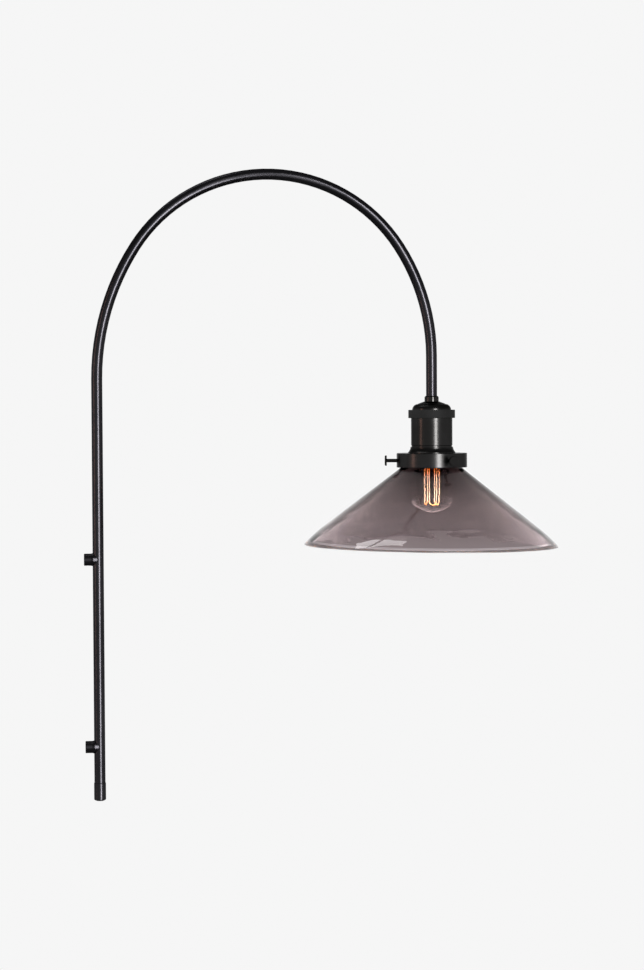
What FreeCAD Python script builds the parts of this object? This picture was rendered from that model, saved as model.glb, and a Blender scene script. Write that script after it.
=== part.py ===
# Arched wall light with a hanging glass shade, built as an assembly of its real pieces.
#
# The origin is the mouth of the upper wall boss, on the wall plane. +X runs from the wall out
# to the lamp and +Z is up, so the bent arm lies in the XZ plane. Sizes are in millimetres.
import FreeCAD, Part
import math
import os
import re

import Sketcher

Vector = FreeCAD.Vector

SIZES = {
    # Arm: a bent tube with one leg along the wall and one down to the lamp
    "tube_radius": 5.4,
    "tube_wall": 1.0,
    "leg_offset": 13.8,
    "leg_tail": 35.0,
    "lamp_reach": 342.2,
    "crown_height": 220.5,
    "crown_tuck": 10.2,
    "crown_shift": 3.2,
    "crown_blend_angle": 57.0,
    "lamp_drop": 68.4,
    # Wall bosses, coped and welded to the leg, and their grub screws
    "boss_pitch": 183.0,
    "boss_radius": 5.9,
    "boss_bore_radius": 3.0,
    "boss_bore_depth": 7.0,
    "boss_ear_setback": 0.9,
    "boss_edge": 0.5,
    "boss_flare": 0.6,
    "boss_flare_run": 1.8,
    "weld_gap": 0.03,
    "grub_radius": 1.5,
    "grub_wall_distance": 3.6,
    "grub_recess": 0.2,
    "grub_socket_radius": 0.85,
    "grub_socket_depth": 1.2,
    # Ferrule, bush and flex in the leg's lower end
    "ferrule_radius": 5.8,
    "ferrule_length": 17.0,
    "ferrule_stem_length": 12.0,
    "ferrule_edge": 0.7,
    "ferrule_bore_step": 0.25,
    "bush_length": 8.0,
    "bush_wall": 1.2,
    "bush_lip": 0.6,
    "flex_radius": 2.9,
    "flex_clearance": 0.25,
    "flex_bush_gap": 3.0,
    "flex_overrun": 1.5,
    "core_radius": 0.85,
    "core_circle_radius": 1.65,
    # Neck collar and lampholder cap
    "neck_radius": 7.0,
    "neck_height": 5.5,
    "neck_edge": 1.1,
    "neck_screw_radius": 1.25,
    "neck_screw_turn": 200.0,
    "cap_radius": 19.2,
    "cap_wall": 1.0,
    "cap_hub_radius": 10.2,
    "cap_hub_thickness": 2.1,
    "dome_height": 8.2,
    "dome_step_radius": 13.0,
    "dome_step_drop": 2.0,
    "dome_step_height": 0.4,
    "dome_bow_radius": 5.9,
    # Nut, earth tag and earth screw under the dome
    "nut_corner_radius": 8.1,
    "nut_height": 3.5,
    "tube_thread_tail": 0.8,
    "tag_thickness": 0.6,
    "tag_washer_radius": 8.6,
    "tag_width": 4.4,
    "tag_reach": 9.7,
    "tag_length": 14.5,
    "earth_screw_radius": 1.0,
    "earth_screw_head_radius": 1.7,
    "earth_screw_head_height": 1.3,
    "earth_screw_length": 3.6,
    "earth_screw_drop": 9.3,
    # Collar ring and lampholder body
    "collar_radius": 23.0,
    "collar_height": 8.1,
    "collar_edge": 0.5,
    "collar_overlap": 2.6,
    "body_radius": 20.4,
    "body_wall": 1.0,
    "body_height": 34.5,
    "flare_radius": 23.4,
    "flare_lip": 0.8,
    "flare_height": 6.2,
    "flare_bow_radius": 8.5,
    "flare_bead": 0.5,
    "groove_depth": 0.5,
    "groove_width": 1.1,
    "spigot_radius": 18.6,
    "spigot_length": 10.0,
    # Porcelain insert, screw shell, contacts and terminal screws
    "porcelain_height": 25.0,
    "porcelain_floor_level": 17.0,
    "porcelain_clearance": 0.1,
    "porcelain_lift": 1.0,
    "socket_shell_radius": 14.4,
    "socket_shell_wall": 0.35,
    "socket_shell_height": 15.4,
    "socket_shell_rim": 0.5,
    "socket_shell_lift": 2.0,
    "contact_width": 5.0,
    "contact_thickness": 0.5,
    "contact_leg_reach": 9.2,
    "contact_end_reach": 17.0,
    "contact_gap": 0.3,
    "terminal_reach": 14.2,
    "terminal_head_radius": 2.1,
    "terminal_head_height": 1.7,
    "terminal_shank_radius": 1.2,
    "terminal_shank_length": 6.0,
    "terminal_slot_width": 0.6,
    "core_landing_reach": 10.5,
    # Shade gallery, its retaining ring and its thumbscrews
    "gallery_radius": 34.7,
    "gallery_height": 14.0,
    "gallery_wall": 1.6,
    "gallery_plate": 1.5,
    "gallery_edge": 0.5,
    "retaining_ring_radius": 24.0,
    "retaining_ring_height": 4.0,
    "ring_notch_width": 3.0,
    "ring_notch_depth": 1.4,
    "screw_drop": 7.3,
    "screw_angle": 49.5,
    "screw_radius": 1.75,
    "screw_head_radius": 5.1,
    "screw_head_thickness": 1.9,
    "screw_exposed_length": 9.7,
    "screw_edge": 0.35,
    # Glass shade
    "shade_neck_radius": 30.2,
    "shade_lip_radius": 32.5,
    "shade_lip_height": 2.8,
    "shade_neck_wall": 2.6,
    "shade_shoulder_radius": 30.9,
    "shade_shoulder_drop": 15.3,
    "shade_inner_shoulder_drop": 16.5,
    "shade_bend_radius": 105.0,
    "shade_bend_drop": 71.5,
    "shade_rim_radius": 126.5,
    "shade_height": 91.3,
    "shade_bow_radius": 146.0,
    "shade_skirt_wall": 5.0,
    "shade_rim_width": 7.4,
    "shade_rim_round": 1.2,
    # Bulb
    "bulb_tip_level": 16.0,
    "bulb_cap_radius": 13.1,
    "bulb_cap_depth": 0.6,
    "bulb_cap_wall": 0.3,
    "bulb_cap_length": 26.0,
    "bulb_contact_radius": 4.8,
    "bulb_contact_height": 1.5,
    "bulb_insulator_height": 3.5,
    "bulb_thread_count": 5,
    "globe_radius": 24.5,
    "globe_drop": 53.5,
    "bulb_neck_radius": 12.0,
    "bulb_neck_blend": 8.0,
    "bulb_neck_inset": 4.0,
    "bulb_wall": 0.8,
    "stem_radius": 3.4,
    "stem_length": 11.0,
    "stem_wall": 0.9,
    "rod_radius": 1.1,
    "filament_top": 31.0,
    "filament_bottom": 69.5,
    "filament_cage_radius": 7.3,
    "filament_radius": 0.4,
    "hook_radius": 0.2,
    "hook_overhang": 0.6,
    "lead_radius": 0.3,
    # Clearances between pieces
    "slip_fit": 0.05,
    "free_gap": 0.3,
}

# Sizes and levels that follow from the driving sizes
DERIVED = {
    "span": "lamp_reach - leg_offset",
    "crown_centre": "leg_offset + span / 2 + crown_shift",
    "crown_radius": "span / 2 - crown_tuck",
    "inner_blend": "(crown_tuck + crown_shift) / (1 - sin(crown_blend_angle))",
    "outer_blend": "(crown_tuck - crown_shift) / (1 - sin(crown_blend_angle))",
    "leg_bottom": "0 - boss_pitch - leg_tail",
    "cap_top": "crown_height - lamp_drop",
    "tube_end": "cap_top - cap_hub_thickness - tag_thickness - nut_height - tube_thread_tail",
    "tube_bore": "tube_radius - tube_wall",
    "cord_bore": "flex_radius + flex_clearance",
    "ferrule_bore": "cord_bore + ferrule_bore_step",
    "flex_start": "leg_bottom - ferrule_length + bush_length + flex_bush_gap",
    "flex_end": "tube_end - flex_overrun",
    "collar_top": "cap_top - dome_height",
    "collar_bottom": "collar_top - collar_height",
    "gallery_top": "collar_bottom - body_height",
    "boss_ear_reach": "leg_offset - boss_ear_setback",
    "grub_length": "boss_radius - grub_recess - boss_bore_radius - slip_fit",
    "cap_skirt_depth": "dome_height + collar_height - collar_overlap",
    "body_top": "body_height + collar_overlap",
    "spigot_bore": "spigot_radius - body_wall",
    "porcelain_bore": "socket_shell_radius + porcelain_clearance",
    "screw_head_face": "gallery_radius + screw_exposed_length + screw_head_thickness",
    "screw_tip": "shade_neck_radius + free_gap",
    "lip_underside": "screw_drop - screw_radius - free_gap",
    "bulb_tip": "gallery_top + bulb_tip_level",
    "contact_face": "bulb_tip_level + contact_gap",
    "socket_thread_radius": "bulb_cap_radius + free_gap",
    "core_landing": "gallery_top + porcelain_height + contact_thickness",
    "shade_run": "shade_bend_radius - shade_shoulder_radius",
    "shade_fall": "shade_bend_drop - shade_shoulder_drop",
    "shade_slant": "sqrt(shade_run ^ 2 + shade_fall ^ 2)",
    "shade_inner_neck": "shade_neck_radius - shade_neck_wall",
    "shade_inner_rim": "shade_rim_radius - shade_rim_width",
    "blend_reach": "sqrt((globe_radius + bulb_neck_blend) ^ 2 - (bulb_neck_radius + bulb_neck_blend) ^ 2)",
    "blend_share": "1 / (globe_radius + bulb_neck_blend)",
    "strand_loop": "filament_cage_radius * sin(180 / 6)",
}

THUMBSCREWS = ("rear", "left", "front")
STRAND_COUNT = 6
RING_NOTCH_COUNT = 4
BEND_SHARE = 0.45
CORE_TURN_SHARE = 0.33
CORE_ANGLES = {"live": -30.0, "neutral": 210.0, "earth": 90.0}

doc = FreeCAD.newDocument("ArchedWallLight")
sheet = doc.addObject("Spreadsheet::Sheet", "Sizes")
parts = []


def fill_sheet():
    """Write every driving size to the sheet, with its name as the cell's alias."""
    for row, (name, size) in enumerate(SIZES.items(), start=1):
        sheet.set(f"A{row}", name)
        sheet.set(f"B{row}", str(size))
        sheet.setAlias(f"B{row}", name)
    doc.recompute()


def formula(text):
    """Return the expression with its names replaced by cells, derived names written out."""
    def cell(match):
        name = match.group(0)
        if name in DERIVED:
            return f"({formula(DERIVED[name])})"
        return f"Sizes.{name}" if name in SIZES else name
    return re.sub(r"[a-z][a-z_0-9]*", cell, text)


def size(text):
    """Return the expression's value as a number."""
    result = sheet.evalExpression(formula(text))
    return float(getattr(result, "Value", result))


def bind(thing, prop, text):
    """Bind a property of an object to an expression of the sizes."""
    thing.setExpression(prop, formula(text))


def new_body(name):
    """Start a sub-part as a body of its own."""
    body = doc.addObject("PartDesign::Body", name)
    body.Label = name
    parts.append(body)
    return body


def place(thing, x="0", z="0", angle=None):
    """Bind the place of a sub-part, and its turn about the vertical, to the sizes."""
    if angle is not None:
        thing.Placement = FreeCAD.Placement(Vector(), FreeCAD.Rotation(Vector(0, 0, 1), 1.0))
        bind(thing, "Placement.Rotation.Angle", angle)
    bind(thing, "Placement.Base.x", x)
    bind(thing, "Placement.Base.z", z)


def new_sketch(body, name, plane="XZ_Plane", offset=None):
    """Attach a sketch to one of the body's own origin planes."""
    sketch = body.newObject("Sketcher::SketchObject", name)
    support = next(f for f in body.Origin.OriginFeatures if f.Role == plane)
    sketch.AttachmentSupport = [(support, "")]
    sketch.MapMode = "FlatFace"
    if offset is not None:
        bind(sketch, "AttachmentOffset.Base.z", offset)
    return sketch


def dimension(sketch, kind, references, text):
    """Add a dimension to a sketch and bind it to an expression."""
    index = sketch.addConstraint(Sketcher.Constraint(kind, *references, size(text)))
    bind(sketch, f"Constraints[{index}]", text)


def pin_point(sketch, geometry, position, x, y):
    """Fix a point of a sketch by its two distances from the sketch's origin."""
    for kind, axis, text in (("DistanceX", -2, x), ("DistanceY", -1, y)):
        if text == "0":
            sketch.addConstraint(Sketcher.Constraint("PointOnObject", geometry, position, axis))
        else:
            dimension(sketch, kind, (-1, 1, geometry, position), text)


def arc_between(start, end, radius, side):
    """Return the shorter arc between two points, its centre on the given side of the way."""
    chord = end - start
    across = Vector(-chord.y, chord.x, 0).normalize() * side
    half = chord.Length / 2
    centre = start + chord / 2 + across * math.sqrt(max(radius ** 2 - half ** 2, 0.0))
    first, last = (start, end) if side > 0 else (end, start)
    angles = [math.atan2(p.y - centre.y, p.x - centre.x) for p in (first, last)]
    circle = Part.Circle(centre, Vector(0, 0, 1), radius)
    return Part.ArcOfCircle(circle, *angles)


def draw(sketch, outline, closed=True):
    """Draw an outline of lines and arcs, every point and radius bound to the sizes.

    Each corner is (x, y), or (x, y, radius, side) where an arc leads on from it. The side is 1
    for an arc whose centre lies to the left of the way on, and -1 for one to the right.
    """
    points = [Vector(size(corner[0]), size(corner[1]), 0) for corner in outline]
    count = len(outline) if closed else len(outline) - 1
    ends = []
    for index in range(count):
        start, end = points[index], points[(index + 1) % len(points)]
        if len(outline[index]) == 4:
            radius, side = outline[index][2:]
            curve = arc_between(start, end, size(radius), side)
            ends.append((1, 2) if side > 0 else (2, 1))
        else:
            curve = Part.LineSegment(start, end)
            ends.append((1, 2))
        sketch.addGeometry(curve, False)
    for index in range(count):
        following = (index + 1) % count
        if closed or index + 1 < count:
            joint = (index, ends[index][1], following, ends[following][0])
            sketch.addConstraint(Sketcher.Constraint("Coincident", *joint))
    for index in range(count):
        pin_point(sketch, index, ends[index][0], *outline[index][:2])
        if len(outline[index]) == 4:
            dimension(sketch, "Radius", (index,), outline[index][2])
    if not closed:
        pin_point(sketch, count - 1, ends[-1][1], *outline[-1][:2])


def draw_circle(sketch, x, y, radius):
    """Draw a circle, its centre and radius bound to the sizes."""
    centre = Vector(size(x), size(y), 0)
    index = sketch.addGeometry(Part.Circle(centre, Vector(0, 0, 1), size(radius)), False)
    pin_point(sketch, index, 3, x, y)
    dimension(sketch, "Radius", (index,), radius)


def revolve(body, outline, axis="V_Axis"):
    """Turn a closed outline in the XZ plane about the body's upright or level axis."""
    sketch = new_sketch(body, f"{body.Name}_section")
    draw(sketch, outline)
    turned = body.newObject("PartDesign::Revolution", f"{body.Name}_turned")
    turned.Profile = sketch
    turned.ReferenceAxis = (sketch, [axis])
    turned.Angle = 360
    doc.recompute()
    return turned


def extrude(body, kind, sketch, name, length, midplane=False, reverse=False):
    """Pad or pocket a sketch of the body."""
    feature = body.newObject(f"PartDesign::{kind}", name)
    feature.Profile = sketch
    feature.Midplane = midplane
    feature.Reversed = reverse
    bind(feature, "Length", length)
    doc.recompute()
    return feature


def soften(body, feature, kind, rings, amount):
    """Fillet or chamfer the ring edges of the given radius and level about the upright axis."""
    wanted = [(size(radius), size(level)) for radius, level in rings]
    names = []
    for index, edge in enumerate(feature.Shape.Edges, start=1):
        if edge.Curve.TypeId != "Part::GeomCircle":
            continue
        ring = (edge.Curve.Radius, edge.Curve.Center.z)
        if any(math.dist(ring, target) < 1e-4 for target in wanted):
            names.append(f"Edge{index}")
    softened = body.newObject(f"PartDesign::{kind}", f"{body.Name}_{kind.lower()}")
    softened.Base = (feature, names)
    bind(softened, "Radius" if kind == "Fillet" else "Size", amount)
    doc.recompute()
    return softened


def primitive(kind, name, **expressions):
    """Make a primitive and bind its sizes and its place."""
    thing = doc.addObject(f"Part::{kind}", name)
    for prop, text in expressions.items():
        bind(thing, prop, text)
    return thing


def at(thing, x="0", y="0", z="0"):
    """Bind the place of a primitive to the sizes."""
    for axis, text in zip("xyz", (x, y, z)):
        bind(thing, f"Placement.Base.{axis}", text)
    return thing


def boolean(kind, name, base, tool):
    """Cut or fuse one shape with another."""
    result = doc.addObject(f"Part::{kind}", name)
    result.Base = base
    result.Tool = tool
    return result


def ring_outline(inner, outer, bottom, top):
    """Return the rectangular section of a plain ring or bush."""
    return [(inner, bottom), (outer, bottom), (outer, top), (inner, top)]


def arch_route(bottom, end):
    """Return the open centre line of the arm, from a level on the leg to one over the lamp."""
    sine, cosine = "sin(crown_blend_angle)", "cos(crown_blend_angle)"
    inner_radius = "crown_radius + inner_blend"
    outer_radius = "crown_radius + outer_blend"
    crown_level = f"crown_height + crown_radius * {cosine}"
    return [
        ("leg_offset", bottom),
        ("leg_offset", f"crown_height - inner_blend * {cosine}", inner_radius, -1),
        (f"crown_centre - crown_radius * {sine}", crown_level, "crown_radius", -1),
        (f"crown_centre + crown_radius * {sine}", crown_level, outer_radius, -1),
        ("lamp_reach", f"crown_height - outer_blend * {cosine}"),
        ("lamp_reach", end),
    ]


def arch_sweep(name, bottom, end, radii):
    """Sweep one or two concentric circles along the arm's centre line."""
    body = new_body(name)
    route = new_sketch(body, f"{name}_route")
    draw(route, arch_route(bottom, end), closed=False)
    section = new_sketch(body, f"{name}_section", "XY_Plane", bottom)
    for radius in radii:
        draw_circle(section, "leg_offset", "0", radius)
    pipe = body.newObject("PartDesign::AdditivePipe", f"{name}_pipe")
    pipe.Profile = section
    pipe.Spine = (route, [])
    doc.recompute()
    areas = [math.pi * size(radius) ** 2 for radius in radii]
    expected = abs(areas[0] - sum(areas[1:])) * route.Shape.Length
    print(name, "swept volume over section times length:", round(pipe.Shape.Volume / expected, 5))


def make_wall_boss(name, level):
    """Turn a boss on the wall side of the leg, cope it to the tube and bore it for the peg."""
    body = new_body(name)
    turned = revolve(body, [
        ("0", "boss_bore_radius"),
        ("0", "boss_radius - boss_edge"),
        ("boss_edge", "boss_radius"),
        ("leg_offset - tube_radius - boss_flare_run", "boss_radius"),
        ("leg_offset - tube_radius + boss_flare", "boss_radius + boss_flare"),
        ("boss_ear_reach", "tube_radius + 2 * weld_gap"),
        ("boss_ear_reach", "0"),
        ("boss_bore_depth", "0"),
        ("boss_bore_depth", "boss_bore_radius"),
    ], "H_Axis")
    cope = new_sketch(body, f"{name}_cope", "XY_Plane")
    draw_circle(cope, "leg_offset", "0", "tube_radius + weld_gap")
    coped = extrude(body, "Pocket", cope, f"{name}_coped", "4 * boss_radius", midplane=True)
    tapping = new_sketch(body, f"{name}_tapping", "XY_Plane")
    draw_circle(tapping, "grub_wall_distance", "0", "grub_radius + slip_fit")
    tapped = extrude(body, "Pocket", tapping, f"{name}_tapped", "2 * boss_radius")
    if not tapped.Shape.Volume < coped.Shape.Volume < turned.Shape.Volume:
        raise ValueError(f"{name}: a cut missed the boss")
    place(body, z=level)


def make_grub_screw(name, level):
    """Make the socket screw that comes up from below and grips the wall peg."""
    shank = primitive("Cylinder", f"{name}_shank", Radius="grub_radius", Height="grub_length")
    socket = primitive("Prism", f"{name}_socket", Circumradius="grub_socket_radius",
                       Height="grub_socket_depth")
    socket.Polygon = 6
    screw = boolean("Cut", name, shank, socket)
    screw.Label = name
    at(screw, "grub_wall_distance", z=f"{level} - boss_radius + grub_recess")
    parts.append(screw)


def make_ferrule_and_bush():
    """Turn the ferrule that plugs the leg's lower end, and the bush that guards the cord."""
    ferrule = new_body("end_ferrule")
    revolve(ferrule, [
        ("ferrule_bore", "bush_length - ferrule_length"),
        ("cord_bore + bush_wall", "bush_length - ferrule_length"),
        ("cord_bore + bush_wall", "0 - ferrule_length"),
        ("ferrule_radius - ferrule_edge", "0 - ferrule_length"),
        ("ferrule_radius", "ferrule_edge - ferrule_length"),
        ("ferrule_radius", "tube_radius - ferrule_radius"),
        ("tube_radius", "0"),
        ("tube_bore - slip_fit", "0"),
        ("tube_bore - slip_fit", "ferrule_stem_length"),
        ("ferrule_bore", "ferrule_stem_length"),
    ])
    place(ferrule, "leg_offset", "leg_bottom")
    bush = new_body("cord_bush")
    revolve(bush, [
        ("cord_bore", "0"),
        ("cord_bore + bush_wall", "0"),
        ("cord_bore + bush_wall", "0 - bush_length"),
        ("cord_bore + bush_wall - bush_lip", "0 - bush_length - bush_lip"),
        ("cord_bore + bush_lip / 2", "0 - bush_length - bush_lip"),
        ("cord_bore", "0 - bush_length - bush_lip / 2"),
    ])
    place(bush, "leg_offset", "leg_bottom - ferrule_length + bush_length")


def make_neck():
    """Turn the collar round the tube on top of the cap, and its fixing screw."""
    collar = new_body("neck_collar")
    turned = revolve(collar, [
        ("tube_radius + slip_fit", "0"),
        ("neck_radius", "0"),
        ("neck_radius", "neck_height - neck_edge"),
        ("neck_radius - neck_edge", "neck_height"),
        ("tube_radius + slip_fit", "neck_height"),
    ])
    tapping = new_sketch(collar, "neck_tapping")
    draw_circle(tapping, "0", "neck_height / 2", "neck_screw_radius + slip_fit")
    tapped = extrude(collar, "Pocket", tapping, "neck_tapped", "2 * neck_radius", reverse=True)
    if not tapped.Shape.Volume < turned.Shape.Volume:
        raise ValueError("neck_collar: the tapping missed the collar")
    place(collar, "lamp_reach", "cap_top", "neck_screw_turn")
    screw = new_body("neck_grub_screw")
    head = new_sketch(screw, "neck_screw_section", offset="tube_radius + slip_fit")
    draw_circle(head, "0", "neck_height / 2", "neck_screw_radius")
    extrude(screw, "Pad", head, "neck_screw_turned", "neck_radius - tube_radius - 4 * slip_fit")
    place(screw, "lamp_reach", "cap_top", "neck_screw_turn")


def make_cap():
    """Turn the stepped dome that hangs on the tube, with its skirt and its thick hub."""
    cap = new_body("holder_cap")
    inner = "cap_radius - cap_wall"
    step_inner = "dome_step_radius - cap_wall / 3"
    step_level = "0 - dome_step_drop - dome_step_height - cap_wall"
    revolve(cap, [
        ("tube_radius + slip_fit", "0"),
        ("neck_radius + dome_step_height", "0"),
        ("dome_step_radius", "0 - dome_step_drop"),
        ("dome_step_radius + dome_step_height", "0 - dome_step_drop - dome_step_height",
         "dome_bow_radius", -1),
        ("cap_radius", "0 - dome_height"),
        ("cap_radius", "0 - cap_skirt_depth"),
        (inner, "0 - cap_skirt_depth"),
        (inner, "0 - dome_height", "dome_bow_radius", 1),
        (step_inner, step_level),
        ("cap_hub_radius", "0 - cap_hub_thickness"),
        ("tube_radius + slip_fit", "0 - cap_hub_thickness"),
    ])
    place(cap, "lamp_reach", "cap_top")


def make_cap_hardware():
    """Make the tube's nut, the earth tag washer above it and the earth screw in the tag."""
    blank = primitive("Prism", "nut_blank", Circumradius="nut_corner_radius", Height="nut_height")
    blank.Polygon = 6
    thread = primitive("Cylinder", "nut_thread", Radius="tube_radius + slip_fit",
                       Height="nut_height")
    nut = boolean("Cut", "tube_lock_nut", blank, thread)
    nut.Label = "tube_lock_nut"
    at(nut, "lamp_reach", z="cap_top - cap_hub_thickness - tag_thickness - nut_height")
    parts.append(nut)

    tag = new_body("earth_tag_washer")
    washer = new_sketch(tag, "washer_section", "XY_Plane", "0 - tag_thickness")
    draw_circle(washer, "0", "0", "tube_radius + slip_fit")
    draw_circle(washer, "0", "0", "tag_washer_radius")
    extrude(tag, "Pad", washer, "washer", "tag_thickness")
    strip = new_sketch(tag, "strip_section")
    draw(strip, [
        ("tag_washer_radius - tag_thickness", "0"),
        ("tag_reach", "0"),
        ("tag_reach", "0 - tag_length"),
        ("tag_reach - tag_thickness", "0 - tag_length"),
        ("tag_reach - tag_thickness", "0 - tag_thickness"),
        ("tag_washer_radius - tag_thickness", "0 - tag_thickness"),
    ])
    bent = extrude(tag, "Pad", strip, "strip", "tag_width", midplane=True)
    hole = new_sketch(tag, "tag_hole", "YZ_Plane", "tag_reach")
    draw_circle(hole, "0", "0 - earth_screw_drop", "earth_screw_radius + slip_fit")
    drilled = extrude(tag, "Pocket", hole, "tag_drilled", "2 * tag_thickness", midplane=True)
    if not drilled.Shape.Volume < bent.Shape.Volume:
        raise ValueError("earth_tag_washer: the hole missed the tag")
    place(tag, "lamp_reach", "cap_top - cap_hub_thickness", "90")

    screw = new_body("earth_screw")
    revolve(screw, [
        ("0 - earth_screw_head_height", "0"),
        ("0 - earth_screw_head_height", "earth_screw_head_radius"),
        ("0", "earth_screw_head_radius"),
        ("0", "earth_screw_radius"),
        ("earth_screw_length", "earth_screw_radius"),
        ("earth_screw_length", "0"),
    ], "H_Axis")
    place(screw, "lamp_reach", "cap_top - cap_hub_thickness - earth_screw_drop", "90")
    bind(screw, "Placement.Base.y", "tag_reach - tag_thickness")


def make_collar_ring():
    """Turn the ring that screws the cap to the body."""
    collar = new_body("collar_ring")
    turned = revolve(collar, [
        ("body_radius + slip_fit", "0 - collar_height"),
        ("collar_radius", "0 - collar_height"),
        ("collar_radius", "0"),
        ("cap_radius + slip_fit", "0"),
        ("cap_radius + slip_fit", "collar_overlap - collar_height"),
        ("body_radius + slip_fit", "collar_overlap - collar_height"),
    ])
    soften(collar, turned, "Fillet", [
        ("collar_radius", "0"),
        ("collar_radius", "0 - collar_height"),
    ], "collar_edge")
    place(collar, "lamp_reach", "collar_top")


def make_holder_body():
    """Turn the lampholder's shell, with its groove, its flared foot and its threaded spigot."""
    shell = new_body("holder_body")
    inner = "body_radius - body_wall"
    bead_radius = "body_radius + flare_bead"
    revolve(shell, [
        ("spigot_bore", "0 - spigot_length"),
        ("spigot_radius", "0 - spigot_length"),
        ("spigot_radius", "0"),
        ("flare_radius", "0"),
        ("flare_radius", "flare_lip", "flare_bow_radius", -1),
        (bead_radius, "flare_height"),
        ("body_radius - groove_depth", "flare_height"),
        ("body_radius - groove_depth", "flare_height + groove_width"),
        ("body_radius", "flare_height + groove_width + groove_depth"),
        ("body_radius", "body_top"),
        (inner, "body_top"),
        (inner, "body_wall"),
        ("spigot_bore", "body_wall"),
    ])
    place(shell, "lamp_reach", "gallery_top")


def make_porcelain():
    """Turn the porcelain insert, and cut its contact slots and terminal holes."""
    insert = new_body("porcelain_insert")
    turned = revolve(insert, [
        ("porcelain_bore", "porcelain_lift - spigot_length"),
        ("spigot_bore - porcelain_clearance", "porcelain_lift - spigot_length"),
        ("spigot_bore - porcelain_clearance", "body_wall"),
        ("body_radius - body_wall - porcelain_clearance", "body_wall"),
        ("body_radius - body_wall - porcelain_clearance", "porcelain_height"),
        ("0", "porcelain_height"),
        ("0", "porcelain_floor_level"),
        ("porcelain_bore", "porcelain_floor_level"),
    ])
    cuts = new_sketch(insert, "insert_cuts", "XY_Plane", "porcelain_height")
    for side in ("", "0 - "):
        draw_slot(cuts, f"{side}contact_leg_reach", "contact_thickness + 4 * slip_fit",
                  "contact_width + 4 * slip_fit")
        draw_circle(cuts, f"{side}terminal_reach", "0", "terminal_shank_radius + slip_fit")
    cut = extrude(insert, "Pocket", cuts, "insert_cut", "porcelain_height - porcelain_floor_level")
    if not cut.Shape.Volume < turned.Shape.Volume:
        raise ValueError("porcelain_insert: the cuts missed the insert")
    place(insert, "lamp_reach", "gallery_top")


def draw_slot(sketch, middle, thickness, width):
    """Draw a straight-cornered slot, centred on the level axis of the sketch."""
    left, right = f"{middle} - ({thickness}) / 2", f"{middle} + ({thickness}) / 2"
    low, high = f"0 - ({width}) / 2", f"({width}) / 2"
    first = sketch.GeometryCount
    corners = [(left, low), (right, low), (right, high), (left, high)]
    points = [Vector(size(x), size(y), 0) for x, y in corners]
    for index in range(4):
        sketch.addGeometry(Part.LineSegment(points[index], points[(index + 1) % 4]), False)
    for index in range(4):
        joint = (first + index, 2, first + (index + 1) % 4, 1)
        sketch.addConstraint(Sketcher.Constraint("Coincident", *joint))
        pin_point(sketch, first + index, 1, *corners[index])


def make_socket_shell():
    """Turn the brass shell that takes the bulb's cap, with its rolled thread."""
    shell = new_body("screw_shell")
    outer = "socket_shell_radius"
    crest = "socket_thread_radius"
    root = "socket_shell_radius - socket_shell_wall"
    pitch = "(bulb_cap_length - bulb_insulator_height - bulb_contact_height) / bulb_thread_count"
    start = "socket_shell_lift - spigot_length"
    outline = [(outer, "socket_shell_height"), (outer, f"{start} + socket_shell_wall"),
               (crest, start)]
    for turn in range(SIZES["bulb_thread_count"]):
        outline.append((root, f"{start} + ({turn} + 0.5) * {pitch}"))
        outline.append((crest, f"{start} + ({turn} + 1) * {pitch}"))
    rim = "bulb_contact_radius + 2 * contact_gap + bulb_insulator_height"
    outline.append((crest, "socket_shell_height - socket_shell_rim"))
    outline.append((rim, "socket_shell_height - socket_shell_rim"))
    outline.append((rim, "socket_shell_height"))
    revolve(shell, outline)
    place(shell, "lamp_reach", "gallery_top")


def make_contact(name, foot_level, foot_reach, side):
    """Bend a contact strip that passes through the porcelain to its terminal."""
    body = new_body(name)
    leg_inner = "contact_leg_reach - contact_thickness / 2"
    leg_outer = "contact_leg_reach + contact_thickness / 2"
    top = "porcelain_height + contact_thickness"
    strip = new_sketch(body, f"{name}_section")
    foot = [(leg_outer, foot_level), (leg_inner, foot_level)]
    if foot_reach is not None:
        foot = [
            (leg_outer, foot_level),
            (foot_reach, foot_level),
            (foot_reach, f"{foot_level} + contact_thickness"),
            (leg_inner, f"{foot_level} + contact_thickness"),
        ]
    draw(strip, foot + [
        (leg_inner, top),
        ("contact_end_reach", top),
        ("contact_end_reach", "porcelain_height"),
        (leg_outer, "porcelain_height"),
    ])
    bent = extrude(body, "Pad", strip, f"{name}_bent", "contact_width", midplane=True)
    hole = new_sketch(body, f"{name}_hole", "XY_Plane", top)
    draw_circle(hole, "terminal_reach", "0", "terminal_shank_radius + slip_fit")
    drilled = extrude(body, "Pocket", hole, f"{name}_drilled", "2 * contact_thickness")
    if not drilled.Shape.Volume < bent.Shape.Volume:
        raise ValueError(f"{name}: the hole missed the strip")
    place(body, "lamp_reach", "gallery_top", side)


def make_terminal_screws():
    """Make the two slotted screws that clamp the contact strips to the porcelain."""
    screws = []
    for name, reach in (("live", "terminal_reach"), ("neutral", "0 - terminal_reach")):
        head = primitive("Cylinder", f"{name}_head", Radius="terminal_head_radius",
                         Height="terminal_head_height")
        shank = primitive("Cylinder", f"{name}_shank", Radius="terminal_shank_radius",
                          Height="terminal_shank_length")
        at(shank, z="0 - terminal_shank_length")
        blank = boolean("Fuse", f"{name}_blank", head, shank)
        slot = primitive("Box", f"{name}_slot", Length="3 * terminal_head_radius",
                         Width="terminal_slot_width", Height="terminal_head_height")
        at(slot, "0 - 1.5 * terminal_head_radius", "0 - terminal_slot_width / 2",
           "terminal_head_height / 2")
        screw = boolean("Cut", f"{name}_terminal_screw", blank, slot)
        at(screw, reach, z="porcelain_height + contact_thickness")
        screws.append(screw)
    pair = doc.addObject("Part::Compound", "terminal_screws")
    pair.Links = screws
    pair.Label = "terminal_screws"
    place(pair, "lamp_reach", "gallery_top")
    parts.append(pair)


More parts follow.
